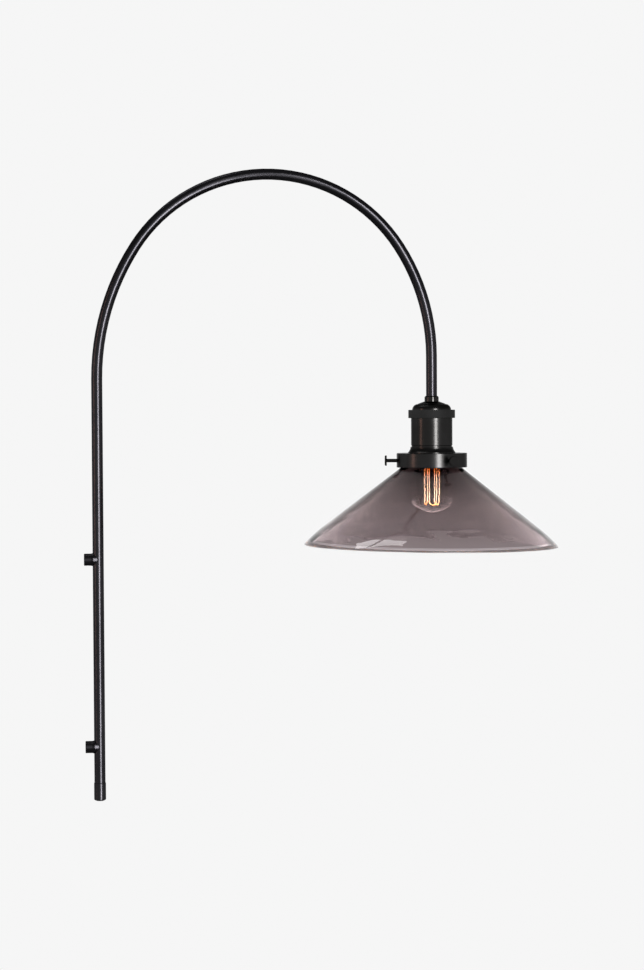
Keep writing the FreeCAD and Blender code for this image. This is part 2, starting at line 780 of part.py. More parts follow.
def rounded_route(points):
    """Join straight runs with tangent arcs as large as the shorter run at each bend allows."""
    edges = []
    last = points[0]
    for before, corner, after in zip(points, points[1:], points[2:]):
        back, on = (before - corner), (after - corner)
        reach = BEND_SHARE * min(back.Length, on.Length)
        half_turn = (math.pi - back.getAngle(on)) / 2
        start = corner + back.normalize() * reach
        end = corner + on.normalize() * reach
        radius = reach / math.tan(half_turn)
        centre_way = (back + on).normalize()
        middle = corner + centre_way * (radius / math.cos(half_turn) - radius)
        edges.append(Part.LineSegment(last, start).toShape())
        edges.append(Part.Arc(start, middle, end).toShape())
        last = end
    edges.append(Part.LineSegment(last, points[-1]).toShape())
    return Part.Wire(edges)


def sweep_round(route, radius):
    """Sweep a round section along a route."""
    start = route.Edges[0]
    way = start.tangentAt(start.FirstParameter)
    section = Part.Wire(Part.makeCircle(radius, start.valueAt(start.FirstParameter), way))
    return route.makePipeShell([section], True, False)


def plain_feature(name, shape, x="0", z="0"):
    """Keep a shape made by formula as a sub-part, placed by the sizes."""
    feature = doc.addObject("Part::Feature", name)
    feature.Label = name
    feature.Shape = shape
    place(feature, x, z)
    parts.append(feature)
    return feature


def make_core(name, angle):
    """Run one insulated core from the flex's end to its terminal."""
    turn = math.radians(angle)
    outward = Vector(math.cos(turn), math.sin(turn), 0)
    start = outward * size("core_circle_radius")
    drop = size("flex_end - core_landing")
    if name == "earth":
        level = size("tube_end - flex_overrun - cap_top + cap_hub_thickness + tag_length")
        depth = level - size("earth_screw_radius") - size("core_radius")
        tag_face = Vector(0, size("tag_reach - tag_thickness"), 0)
        points = [start, start - Vector(0, 0, depth), tag_face - Vector(0, 0, depth)]
    else:
        side = math.copysign(size("core_landing_reach"), outward.x)
        points = [
            start,
            start - Vector(0, 0, drop * CORE_TURN_SHARE),
            Vector(side, 0, -drop * (1 - CORE_TURN_SHARE)),
            Vector(side, 0, -drop),
        ]
    route = rounded_route(points)
    shape = sweep_round(route, size("core_radius"))
    expected = math.pi * size("core_radius") ** 2 * route.Length
    print(f"{name}_core: volume over section times length:", round(shape.Volume / expected, 4))
    plain_feature(f"{name}_core", shape, "lamp_reach", "flex_end")


def make_gallery():
    """Turn the shade gallery, bore it for its three thumbscrews, and make its retaining ring."""
    gallery = new_body("shade_gallery")
    turned = revolve(gallery, [
        ("spigot_radius + slip_fit", "0"),
        ("gallery_radius", "0"),
        ("gallery_radius", "0 - gallery_height"),
        ("gallery_radius - gallery_wall", "0 - gallery_height"),
        ("gallery_radius - gallery_wall", "0 - gallery_plate"),
        ("spigot_radius + slip_fit", "0 - gallery_plate"),
    ])
    softened = soften(gallery, turned, "Fillet", [
        ("gallery_radius", "0"),
        ("gallery_radius", "0 - gallery_height"),
    ], "gallery_edge")
    tapping = new_sketch(gallery, "screw_tapping", "YZ_Plane")
    draw_circle(tapping, "0", "0 - screw_drop", "screw_radius + slip_fit")
    tapped = extrude(gallery, "Pocket", tapping, "screw_tapped", "2 * gallery_radius",
                     reverse=True)
    spread = gallery.newObject("PartDesign::PolarPattern", "screw_holes")
    spread.Originals = [tapped]
    spread.Axis = (tapping, ["V_Axis"])
    spread.Angle = 360
    spread.Occurrences = len(THUMBSCREWS)
    gallery.Tip = spread
    doc.recompute()
    if not spread.Shape.Volume < tapped.Shape.Volume < softened.Shape.Volume:
        raise ValueError("shade_gallery: a screw hole missed the wall")
    place(gallery, "lamp_reach", "gallery_top", "screw_angle")

    ring = new_body("gallery_retaining_ring")
    bottom = "0 - gallery_plate - retaining_ring_height"
    blank = revolve(ring, ring_outline("spigot_radius + slip_fit", "retaining_ring_radius",
                                       bottom, "0 - gallery_plate"))
    notch = new_sketch(ring, "ring_notch", "XY_Plane", bottom)
    draw_slot(notch, "retaining_ring_radius", "2 * ring_notch_depth", "ring_notch_width")
    notched = extrude(ring, "Pocket", notch, "ring_notched", "retaining_ring_height",
                      reverse=True)
    notches = ring.newObject("PartDesign::PolarPattern", "ring_notches")
    notches.Originals = [notched]
    notches.Axis = (notch, ["N_Axis"])
    notches.Angle = 360
    notches.Occurrences = RING_NOTCH_COUNT
    ring.Tip = notches
    doc.recompute()
    if not notches.Shape.Volume < notched.Shape.Volume < blank.Shape.Volume:
        raise ValueError("gallery_retaining_ring: a notch missed the ring")
    place(ring, "lamp_reach", "gallery_top")


def make_thumbscrew(name, place_in_ring):
    """Turn a thumbscrew: a thin round head on a plain shank that reaches the shade's neck."""
    screw = new_body(name)
    head_back = "screw_head_face - screw_head_thickness"
    revolve(screw, [
        ("screw_tip", "0"),
        ("screw_tip", "screw_radius - screw_edge"),
        ("screw_tip + screw_edge", "screw_radius"),
        (head_back, "screw_radius"),
        (head_back, "screw_head_radius - screw_edge"),
        (f"{head_back} + screw_edge", "screw_head_radius"),
        ("screw_head_face - screw_edge", "screw_head_radius"),
        ("screw_head_face", "screw_head_radius - screw_edge"),
        ("screw_head_face", "0"),
    ], "H_Axis")
    turn = f"screw_angle + {360 * place_in_ring} / {len(THUMBSCREWS)}"
    place(screw, "lamp_reach", "gallery_top - screw_drop", turn)


def make_shade():
    """Turn the glass shade: a lip and neck in the gallery, and a wide skirt, bowed at its rim."""
    shade = new_body("glass_shade")
    turned = revolve(shade, [
        ("shade_inner_neck", "0 - lip_underside + shade_lip_height"),
        ("shade_lip_radius", "0 - lip_underside + shade_lip_height"),
        ("shade_lip_radius", "0 - lip_underside"),
        ("shade_neck_radius", "0 - lip_underside"),
        ("shade_neck_radius", "0 - gallery_height + screw_edge"),
        ("shade_shoulder_radius", "0 - shade_shoulder_drop"),
        ("shade_bend_radius", "0 - shade_bend_drop", "shade_bow_radius", -1),
        ("shade_rim_radius", "0 - shade_height"),
        ("shade_inner_rim", "0 - shade_height", "shade_bow_radius - shade_skirt_wall", 1),
        ("shade_bend_radius - shade_skirt_wall * shade_fall / shade_slant",
         "0 - shade_bend_drop - shade_skirt_wall * shade_run / shade_slant"),
        ("shade_inner_neck", "0 - shade_inner_shoulder_drop"),
    ])
    rim_rings = [("shade_rim_radius", "0 - shade_height"), ("shade_inner_rim", "0 - shade_height")]
    soften(shade, turned, "Fillet", rim_rings, "shade_rim_round")
    place(shade, "lamp_reach", "gallery_top")


def make_bulb_cap():
    """Turn the bulb's threaded cap, its insulator and its end contact."""
    cap = new_body("bulb_cap")
    crest, root = "bulb_cap_radius", "bulb_cap_radius - bulb_cap_depth"
    inner = "bulb_neck_radius + slip_fit"
    top = "bulb_insulator_height + bulb_contact_height"
    pitch = f"(bulb_cap_length - {top}) / (bulb_thread_count + 1)"
    outline = [(inner, "0 - bulb_cap_length"), (root, "0 - bulb_cap_length")]
    for turn in range(SIZES["bulb_thread_count"]):
        outline.append((crest, f"0 - bulb_cap_length + ({turn} + 0.75) * {pitch}"))
        outline.append((root, f"0 - bulb_cap_length + ({turn} + 1.25) * {pitch}"))
    neck_top = "bulb_neck_inset - bulb_cap_length"
    outline += [
        (root, f"0 - ({top}) - bulb_cap_wall"),
        ("bulb_contact_radius + bulb_insulator_height", f"0 - ({top})"),
        ("bulb_contact_radius + bulb_insulator_height", f"0 - ({top}) - bulb_cap_wall"),
        (f"{root} - 2 * bulb_cap_wall", f"0 - ({top}) - 3 * bulb_cap_wall"),
        (f"{root} - 2 * bulb_cap_wall", f"{neck_top} + bulb_cap_wall"),
        (inner, neck_top),
    ]
    revolve(cap, outline)
    place(cap, "lamp_reach", "bulb_tip")

    insulator = new_body("bulb_insulator")
    revolve(insulator, [
        ("0", f"0 - ({top})"),
        ("bulb_contact_radius + bulb_insulator_height", f"0 - ({top})"),
        ("bulb_contact_radius", "0 - bulb_contact_height"),
        ("0", "0 - bulb_contact_height"),
    ])
    place(insulator, "lamp_reach", "bulb_tip")

    contact = new_body("bulb_end_contact")
    revolve(contact, [
        ("0", "0 - bulb_contact_height"),
        ("bulb_contact_radius", "0 - bulb_contact_height"),
        ("bulb_contact_radius - bulb_contact_height / 2", "0"),
        ("0", "0"),
    ])
    place(contact, "lamp_reach", "bulb_tip")


def make_bulb_glass():
    """Turn the bulb's globe, blended into its neck, as a closed-bottomed hollow glass."""
    glass = new_body("bulb_glass")
    level = "0 - globe_drop"
    joint_x = "(bulb_neck_radius + bulb_neck_blend) * blend_share"
    joint_z = "blend_reach * blend_share"
    inner_radius = "globe_radius - bulb_wall"
    neck_top = "bulb_neck_inset - bulb_cap_length"
    revolve(glass, [
        ("0", f"{level} - globe_radius", "globe_radius", 1),
        ("globe_radius", level, "globe_radius", 1),
        (f"globe_radius * {joint_x}", f"{level} + globe_radius * {joint_z}",
         "bulb_neck_blend", -1),
        ("bulb_neck_radius", f"{level} + blend_reach"),
        ("bulb_neck_radius", neck_top),
        ("bulb_neck_radius - bulb_wall", neck_top),
        ("bulb_neck_radius - bulb_wall", f"{level} + blend_reach",
         "bulb_neck_blend + bulb_wall", 1),
        (f"({inner_radius}) * {joint_x}", f"{level} + ({inner_radius}) * {joint_z}",
         inner_radius, -1),
        (inner_radius, level, inner_radius, -1),
        ("0", f"{level} - globe_radius + bulb_wall"),
    ])
    place(glass, "lamp_reach", "bulb_tip")


def make_bulb_stem():
    """Turn the glass stem: a flare fused to the neck, a tube, a pinch and a long rod."""
    stem = new_body("bulb_stem")
    neck_top = "bulb_neck_inset - bulb_cap_length"
    neck_bore = "bulb_neck_radius - bulb_wall"
    waist = f"{neck_top} + stem_wall * 4"
    revolve(stem, [
        ("0", f"{waist}"),
        ("stem_radius", waist),
        (neck_bore, f"{neck_top} - stem_wall"),
        (neck_bore, f"{neck_top} - 2 * stem_wall"),
        ("stem_radius + stem_wall", f"{waist} - 2 * stem_wall"),
        ("stem_radius", f"{neck_top} - 4 * stem_wall"),
        ("rod_radius", f"{waist} - stem_length"),
        ("rod_radius", "0 - filament_bottom - 2 * rod_radius"),
        ("0", "0 - filament_bottom - 2 * rod_radius"),
    ])
    place(stem, "lamp_reach", "bulb_tip")


def strand_point(index, level):
    """Return a point of the filament cage at one strand's angle."""
    turn = 2 * math.pi * index / STRAND_COUNT
    radius = size("filament_cage_radius")
    return Vector(radius * math.cos(turn), radius * math.sin(turn), level)


def make_filament():
    """Wind the filament up and down round its cage, and make its hooks and lead wires."""
    top, bottom = -size("filament_top"), -size("filament_bottom")
    loop = size("strand_loop")
    edges = []
    for index in range(STRAND_COUNT):
        high = top if index in (0, STRAND_COUNT - 1) else top - loop
        levels = (high, bottom + loop) if index % 2 == 0 else (bottom + loop, high)
        if index == STRAND_COUNT - 1:
            levels = (bottom + loop, top)
        start, end = (strand_point(index, level) for level in levels)
        edges.append(Part.LineSegment(start, end).toShape())
        if index + 1 < STRAND_COUNT:
            following = strand_point(index + 1, end.z)
            crest = (end + following) / 2 + Vector(0, 0, math.copysign(loop, end.z - start.z))
            edges.append(Part.Arc(end, crest, following).toShape())
    strand = size("filament_radius")
    route = Part.Wire(edges)
    shape = sweep_round(route, strand)
    ratio = shape.Volume / (math.pi * strand ** 2 * route.Length)
    print("bulb_filament: volume over section times length:", round(ratio, 4))
    plain_feature("bulb_filament", shape, "lamp_reach", "bulb_tip")

    hook = size("hook_radius")
    rod = size("rod_radius")
    reach = size("filament_cage_radius * cos(180 / 6) + hook_overhang") - rod
    gap = strand + hook + size("slip_fit")
    hooks = []
    for index in range(STRAND_COUNT - 1):
        level = bottom + gap if index % 2 == 0 else top - gap
        turn = 2 * math.pi * (index + 0.5) / STRAND_COUNT
        way = Vector(math.cos(turn), math.sin(turn), 0)
        hooks.append(Part.makeCylinder(hook, reach, way * rod + Vector(0, 0, level), way))
    plain_feature("filament_hooks", Part.makeCompound(hooks), "lamp_reach", "bulb_tip")

    lead = size("lead_radius")
    leads = []
    for index in (0, STRAND_COUNT - 1):
        end = strand_point(index, top)
        way = Vector(end.x, end.y, 0).normalize()
        start = way * (size("stem_radius + slip_fit") + lead)
        start.z = size("bulb_neck_inset - bulb_cap_length - stem_wall * 4 - lead_radius")
        above = Vector(end.x, end.y, (start.z + top) / 2)
        leads.append(sweep_round(rounded_route([start, above, end]), lead))
    plain_feature("bulb_lead_wires", Part.makeCompound(leads), "lamp_reach", "bulb_tip")


def check_parts():
    """Stop if any object failed or any sub-part is missing, invalid or nameless."""
    doc.recompute()
    for thing in doc.Objects:
        if any(word in thing.State for word in ("Invalid", "Error")):
            raise ValueError(f"{thing.Name} failed: {thing.State}")
    for part in parts:
        if part.Shape.isNull() or not part.Shape.isValid() or not part.Shape.Solids:
            raise ValueError(f"{part.Label} has no valid solid")


def main():
    fill_sheet()
    arch_sweep("arm_tube", "leg_bottom", "tube_end", ["tube_radius", "tube_bore"])
    for name, level in (("upper", "0"), ("lower", "0 - boss_pitch")):
        make_wall_boss(f"{name}_wall_boss", level)
        make_grub_screw(f"{name}_boss_grub_screw", level)
    make_ferrule_and_bush()
    arch_sweep("internal_flex", "flex_start", "flex_end", ["flex_radius"])
    make_neck()
    make_cap()
    make_cap_hardware()
    make_collar_ring()
    make_holder_body()
    make_porcelain()
    make_socket_shell()
    make_contact("centre_contact", "contact_face", "0 - contact_leg_reach / 2", "0")
    make_contact("side_contact", "socket_shell_height", None, "180")
    make_terminal_screws()
    for name, angle in CORE_ANGLES.items():
        make_core(name, angle)
    make_gallery()
    for index, name in enumerate(THUMBSCREWS):
        make_thumbscrew(f"thumbscrew_{name}", index)
    make_shade()
    make_bulb_cap()
    make_bulb_glass()
    make_bulb_stem()
    make_filament()
    check_parts()
    os.makedirs("parts", exist_ok=True)
    for part in parts:
        part.Shape.exportStep(f"parts/{part.Label}.step")
        print(f"{part.Label:26s} solids {len(part.Shape.Solids)}  volume {part.Shape.Volume:.2f}")


main()
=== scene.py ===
"""Dress the arched wall light: its finishes, its blown glass, its lit bulb and the studio round it.

Everything is in metres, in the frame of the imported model: the wall is the plane X = 0, the arm
lies in the XZ plane and the lamp hangs on an upright axis some way out along +X.
"""

import logging
import math
from dataclasses import dataclass
from enum import Enum

import bmesh
import bpy
from mathutils import Matrix, Quaternion, Vector, noise

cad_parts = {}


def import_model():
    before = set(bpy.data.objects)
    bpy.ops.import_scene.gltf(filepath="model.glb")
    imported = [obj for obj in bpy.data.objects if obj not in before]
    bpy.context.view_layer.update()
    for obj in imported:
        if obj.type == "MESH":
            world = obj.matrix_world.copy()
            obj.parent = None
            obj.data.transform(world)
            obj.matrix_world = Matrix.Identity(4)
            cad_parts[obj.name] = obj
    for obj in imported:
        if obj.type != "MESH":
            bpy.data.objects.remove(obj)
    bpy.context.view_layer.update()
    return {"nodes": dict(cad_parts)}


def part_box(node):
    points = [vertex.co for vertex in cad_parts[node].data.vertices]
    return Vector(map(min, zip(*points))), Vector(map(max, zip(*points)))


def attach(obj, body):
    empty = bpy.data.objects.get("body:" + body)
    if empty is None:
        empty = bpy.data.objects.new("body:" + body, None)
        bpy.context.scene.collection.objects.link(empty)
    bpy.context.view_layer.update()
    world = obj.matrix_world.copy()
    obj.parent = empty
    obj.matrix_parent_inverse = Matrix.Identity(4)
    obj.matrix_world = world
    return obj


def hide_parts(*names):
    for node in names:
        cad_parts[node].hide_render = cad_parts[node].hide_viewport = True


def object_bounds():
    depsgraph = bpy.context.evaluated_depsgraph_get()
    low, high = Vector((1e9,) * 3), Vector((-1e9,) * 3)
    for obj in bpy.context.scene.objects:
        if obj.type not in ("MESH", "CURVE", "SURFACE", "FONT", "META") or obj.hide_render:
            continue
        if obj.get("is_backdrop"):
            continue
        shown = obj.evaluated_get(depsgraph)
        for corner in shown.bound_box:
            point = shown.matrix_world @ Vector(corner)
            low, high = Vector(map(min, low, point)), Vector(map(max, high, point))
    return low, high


LOG = logging.getLogger("arched_wall_light")

Colour = tuple[float, float, float, float]

FIRST, SECOND, MIXED = 6, 7, 2
"""The places of a colour mix's two inputs and of its output."""


# --------------------------------------------------------------------------- node helpers


class Recipe:
    """A node tree that is filled in step by step, for a material or for a shader group."""

    def __init__(self, tree: bpy.types.NodeTree) -> None:
        """Start from an empty tree.

        Args:
            tree: the material's or the group's node tree.
        """
        self.tree = tree
        self.tree.nodes.clear()

    def add(self, kind: str, settings: dict | None = None, **inputs: object) -> bpy.types.Node:
        """Add a node, set its properties and its inputs.

        Args:
            kind: the node's type, without its ShaderNode prefix.
            settings: the node's own properties by name.
            **inputs: socket values by name, with underscores for spaces.

        Returns:
            The new node.
        """
        node = self.tree.nodes.new(kind if kind.startswith("Node") else f"ShaderNode{kind}")
        for name, value in (settings or {}).items():
            setattr(node, name, value)
        for name, value in inputs.items():
            node.inputs[name.replace("_", " ")].default_value = value
        return node

    def join(self, source: bpy.types.Node, output: str | int, target: bpy.types.Node,
             socket: str | int) -> None:
        """Join one node's output to another's input.

        Args:
            source: the node that gives the value.
            output: its output's name or place.
            target: the node that takes the value.
            socket: the input's name or place.
        """
        self.tree.links.new(source.outputs[output], target.inputs[socket])

    def ramp(self, stops: list[tuple[float, Colour]]) -> bpy.types.Node:
        """Add a colour ramp.

        Args:
            stops: places along the ramp with their colours, lowest first.

        Returns:
            The ramp node.
        """
        node = self.add("ValToRGB")
        elements = node.color_ramp.elements
        while len(elements) < len(stops):
            elements.new(0.5)
        for element, (place, colour) in zip(elements, stops):
            element.position = place
            element.color = colour
        return node

    def spread(self, source: bpy.types.Node, output: str | int, low: float, high: float,
               start: float = 0.0, end: float = 1.0, **settings: object) -> bpy.types.Node:
        """Stretch a value from one range to another and keep it within, unless told not to.

        Args:
            source: the node that gives the value.
            output: its output's name or place.
            low: what start becomes.
            high: what end becomes.
            start: one end of the value's own range.
            end: the other end.
            **settings: the node's own properties by name.

        Returns:
            The Map Range node, whose Result is the stretched value.
        """
        node = self.add("MapRange", settings, From_Min=start, From_Max=end, To_Min=low,
                        To_Max=high)
        self.join(source, output, node, "Value")
        return node

    def mix(self, factor: bpy.types.Node, output: str | int, **ends: Colour) -> bpy.types.Node:
        """Add a colour mix.

        Args:
            factor: the node that gives the share of the second colour.
            output: its output's name or place.
            **ends: first and second, for an end that is one colour all over.

        Returns:
            The Mix node, whose output MIXED is the colour.
        """
        node = self.add("Mix", {"data_type": "RGBA"})
        self.join(factor, output, node, "Factor")
        for name, colour in ends.items():
            node.inputs[{"first": FIRST, "second": SECOND}[name]].default_value = colour
        return node


class Effect(Enum):
    """The shader groups that several finishes share."""

    GRAIN = "fine_grain"
    SPECKS = "stray_specks"
    WAVES = "glass_waves"


class EffectShelf:
    """Builds each shared shader group once and hands it out."""

    def __init__(self) -> None:
        """Start with no groups made."""
        self.made: dict[Effect, bpy.types.NodeTree] = {}

    def place(self, recipe: Recipe, effect: Effect, **inputs: float) -> bpy.types.Node:
        """Put a shared effect in a material.

        Args:
            recipe: the material's tree.
            effect: which effect.
            **inputs: the group's own values.

        Returns:
            The group node.
        """
        if effect not in self.made:
            builders = {Effect.GRAIN: self._grain, Effect.SPECKS: self._specks,
                        Effect.WAVES: self._waves}
            self.made[effect] = builders[effect]()
        node = recipe.add("Group")
        node.node_tree = self.made[effect]
        for name, value in inputs.items():
            node.inputs[name.replace("_", " ")].default_value = value
        return node

    def _start(self, effect: Effect, inputs: dict[str, float],
               outputs: list[str]) -> tuple[Recipe, bpy.types.Node, bpy.types.Node]:
        """Make an empty group with its sockets.

        Args:
            effect: which effect it is for.
            inputs: the group's inputs and their usual values.
            outputs: the names of its outputs.

        Returns:
            The group's recipe, its input node and its output node.
        """
        tree = bpy.data.node_groups.new(effect.value, "ShaderNodeTree")
        for name, usual in inputs.items():
            socket = tree.interface.new_socket(name, in_out="INPUT", socket_type="NodeSocketFloat")
            socket.default_value = usual
        for name in outputs:
            tree.interface.new_socket(name, in_out="OUTPUT", socket_type="NodeSocketFloat")
        recipe = Recipe(tree)
        return recipe, recipe.add("NodeGroupInput"), recipe.add("NodeGroupOutput")

    def _grain(self) -> bpy.types.NodeTree:
        """Make the group for a sprayed or rolled surface.

        Returns:
            The group, which gives a fine height and a broad tone.
        """
        recipe, values, result = self._start(Effect.GRAIN, {"Scale": 900.0, "Broad": 30.0},
                                             ["Height", "Tone"])
        place = recipe.add("TexCoord")
        fine = recipe.add("TexNoise", Detail=3.0, Roughness=0.6)
        broad = recipe.add("TexNoise", Detail=5.0, Roughness=0.55, Distortion=0.3)
        for texture, name in ((fine, "Scale"), (broad, "Broad")):
            recipe.join(place, "Object", texture, "Vector")
            recipe.join(values, name, texture, "Scale")
        recipe.join(fine, "Fac", result, "Height")
        recipe.join(broad, "Fac", result, "Tone")
        return recipe.tree

    def _specks(self) -> bpy.types.NodeTree:
        """Make the group for the seeds in glass.

        Returns:
            The group, which gives a sparse mask of dots.
        """
        recipe, values, result = self._start(Effect.SPECKS, {"Scale": 60.0, "Size": 0.035,
                                                             "Rarity": 0.9}, ["Mask"])
        place = recipe.add("TexCoord")
        cells = recipe.add("TexVoronoi", Randomness=1.0)
        recipe.join(place, "Object", cells, "Vector")
        recipe.join(values, "Scale", cells, "Scale")
        dots = recipe.add("Math", {"operation": "LESS_THAN"})
        recipe.join(cells, "Distance", dots, 0)
        recipe.join(values, "Size", dots, 1)
        chance = recipe.add("SeparateColor")
        recipe.join(cells, "Color", chance, "Color")
        few = recipe.add("Math", {"operation": "GREATER_THAN"})
        recipe.join(chance, "Red", few, 0)
        recipe.join(values, "Rarity", few, 1)
        both = recipe.add("Math", {"operation": "MULTIPLY"})
        recipe.join(dots, 0, both, 0)
        recipe.join(few, 0, both, 1)
        recipe.join(both, 0, result, "Mask")
        return recipe.tree

    def _waves(self) -> bpy.types.NodeTree:
        """Make the group for the slow ripples of blown glass.

        Returns:
            The group, which gives a height and a tone.
        """
        recipe, values, result = self._start(Effect.WAVES, {"Scale": 14.0, "Streak": 5.0},
                                             ["Height", "Tone"])
        place = recipe.add("TexCoord")
        soft = recipe.add("TexNoise", Detail=1.5, Roughness=0.4, Distortion=0.6)
        recipe.join(place, "Object", soft, "Vector")
        recipe.join(values, "Scale", soft, "Scale")
        drawn = recipe.add("Mapping")
        drawn.inputs["Scale"].default_value = (1.0, 1.0, 4.0)
        recipe.join(place, "Object", drawn, "Vector")
        streaks = recipe.add("TexNoise", Detail=2.0, Roughness=0.5, Distortion=1.2)
        recipe.join(drawn, "Vector", streaks, "Vector")
        recipe.join(values, "Streak", streaks, "Scale")
        both = recipe.add("Math", {"operation": "ADD"})
        recipe.join(soft, "Fac", both, 0)
        recipe.join(streaks, "Fac", both, 1)
        recipe.join(both, 0, result, "Height")
        recipe.join(streaks, "Fac", result, "Tone")
        return recipe.tree


# --------------------------------------------------------------------------- finishes


SHELF = EffectShelf()
MADE: dict[str, bpy.types.Material] = {}


def new_material(name: str) -> tuple[bpy.types.Material, Recipe, bpy.types.Node, bpy.types.Node]:
    """Make a material with a Principled shader joined to its output.

    Args:
        name: the material's name.

    Returns:
        The material, its recipe, its Principled node and its output node.
    """
    material = bpy.data.materials.new(name)
    material.use_nodes = True
    recipe = Recipe(material.node_tree)
    shader = recipe.add("BsdfPrincipled")
    output = recipe.add("OutputMaterial")
    recipe.join(shader, "BSDF", output, "Surface")
    return material, recipe, shader, output


def grey(level: float) -> Colour:
    """Return a neutral colour of the given level."""
    return (level, level, level, 1.0)


@dataclass(frozen=True)
class SolidFinish:
    """An opaque finish: paint, plating, plastic or porcelain, with grain and a drift of tone."""

    name: str
    dark: Colour
    light: Colour
    roughness: tuple[float, float]
    metallic: float = 0.0
    grain_scale: float = 900.0
    broad_scale: float = 30.0
    grain_depth: float = 0.04
    grain_height: float = 0.0004
    specular: float = 0.5
    edge: Colour = (1.0, 1.0, 1.0, 1.0)

    def material(self) -> bpy.types.Material:
        """Make the finish's nodes.

        Returns:
            The finish as a material.
        """
        material, recipe, shader, _ = new_material(self.name)
        shader.inputs["Metallic"].default_value = self.metallic
        shader.inputs["Specular IOR Level"].default_value = self.specular
        shader.inputs["Specular Tint"].default_value = self.edge
        grain = SHELF.place(recipe, Effect.GRAIN, Scale=self.grain_scale, Broad=self.broad_scale)
        tone = recipe.ramp([(0.35, self.dark), (0.65, self.light)])
        recipe.join(grain, "Tone", tone, "Fac")
        recipe.join(tone, "Color", shader, "Base Color")
        sheen = recipe.spread(grain, "Tone", *self.roughness)
        recipe.join(sheen, "Result", shader, "Roughness")
        bump = recipe.add("Bump", Strength=self.grain_depth, Distance=self.grain_height)
        recipe.join(grain, "Height", bump, "Height")
        recipe.join(bump, "Normal", shader, "Normal")
        return material


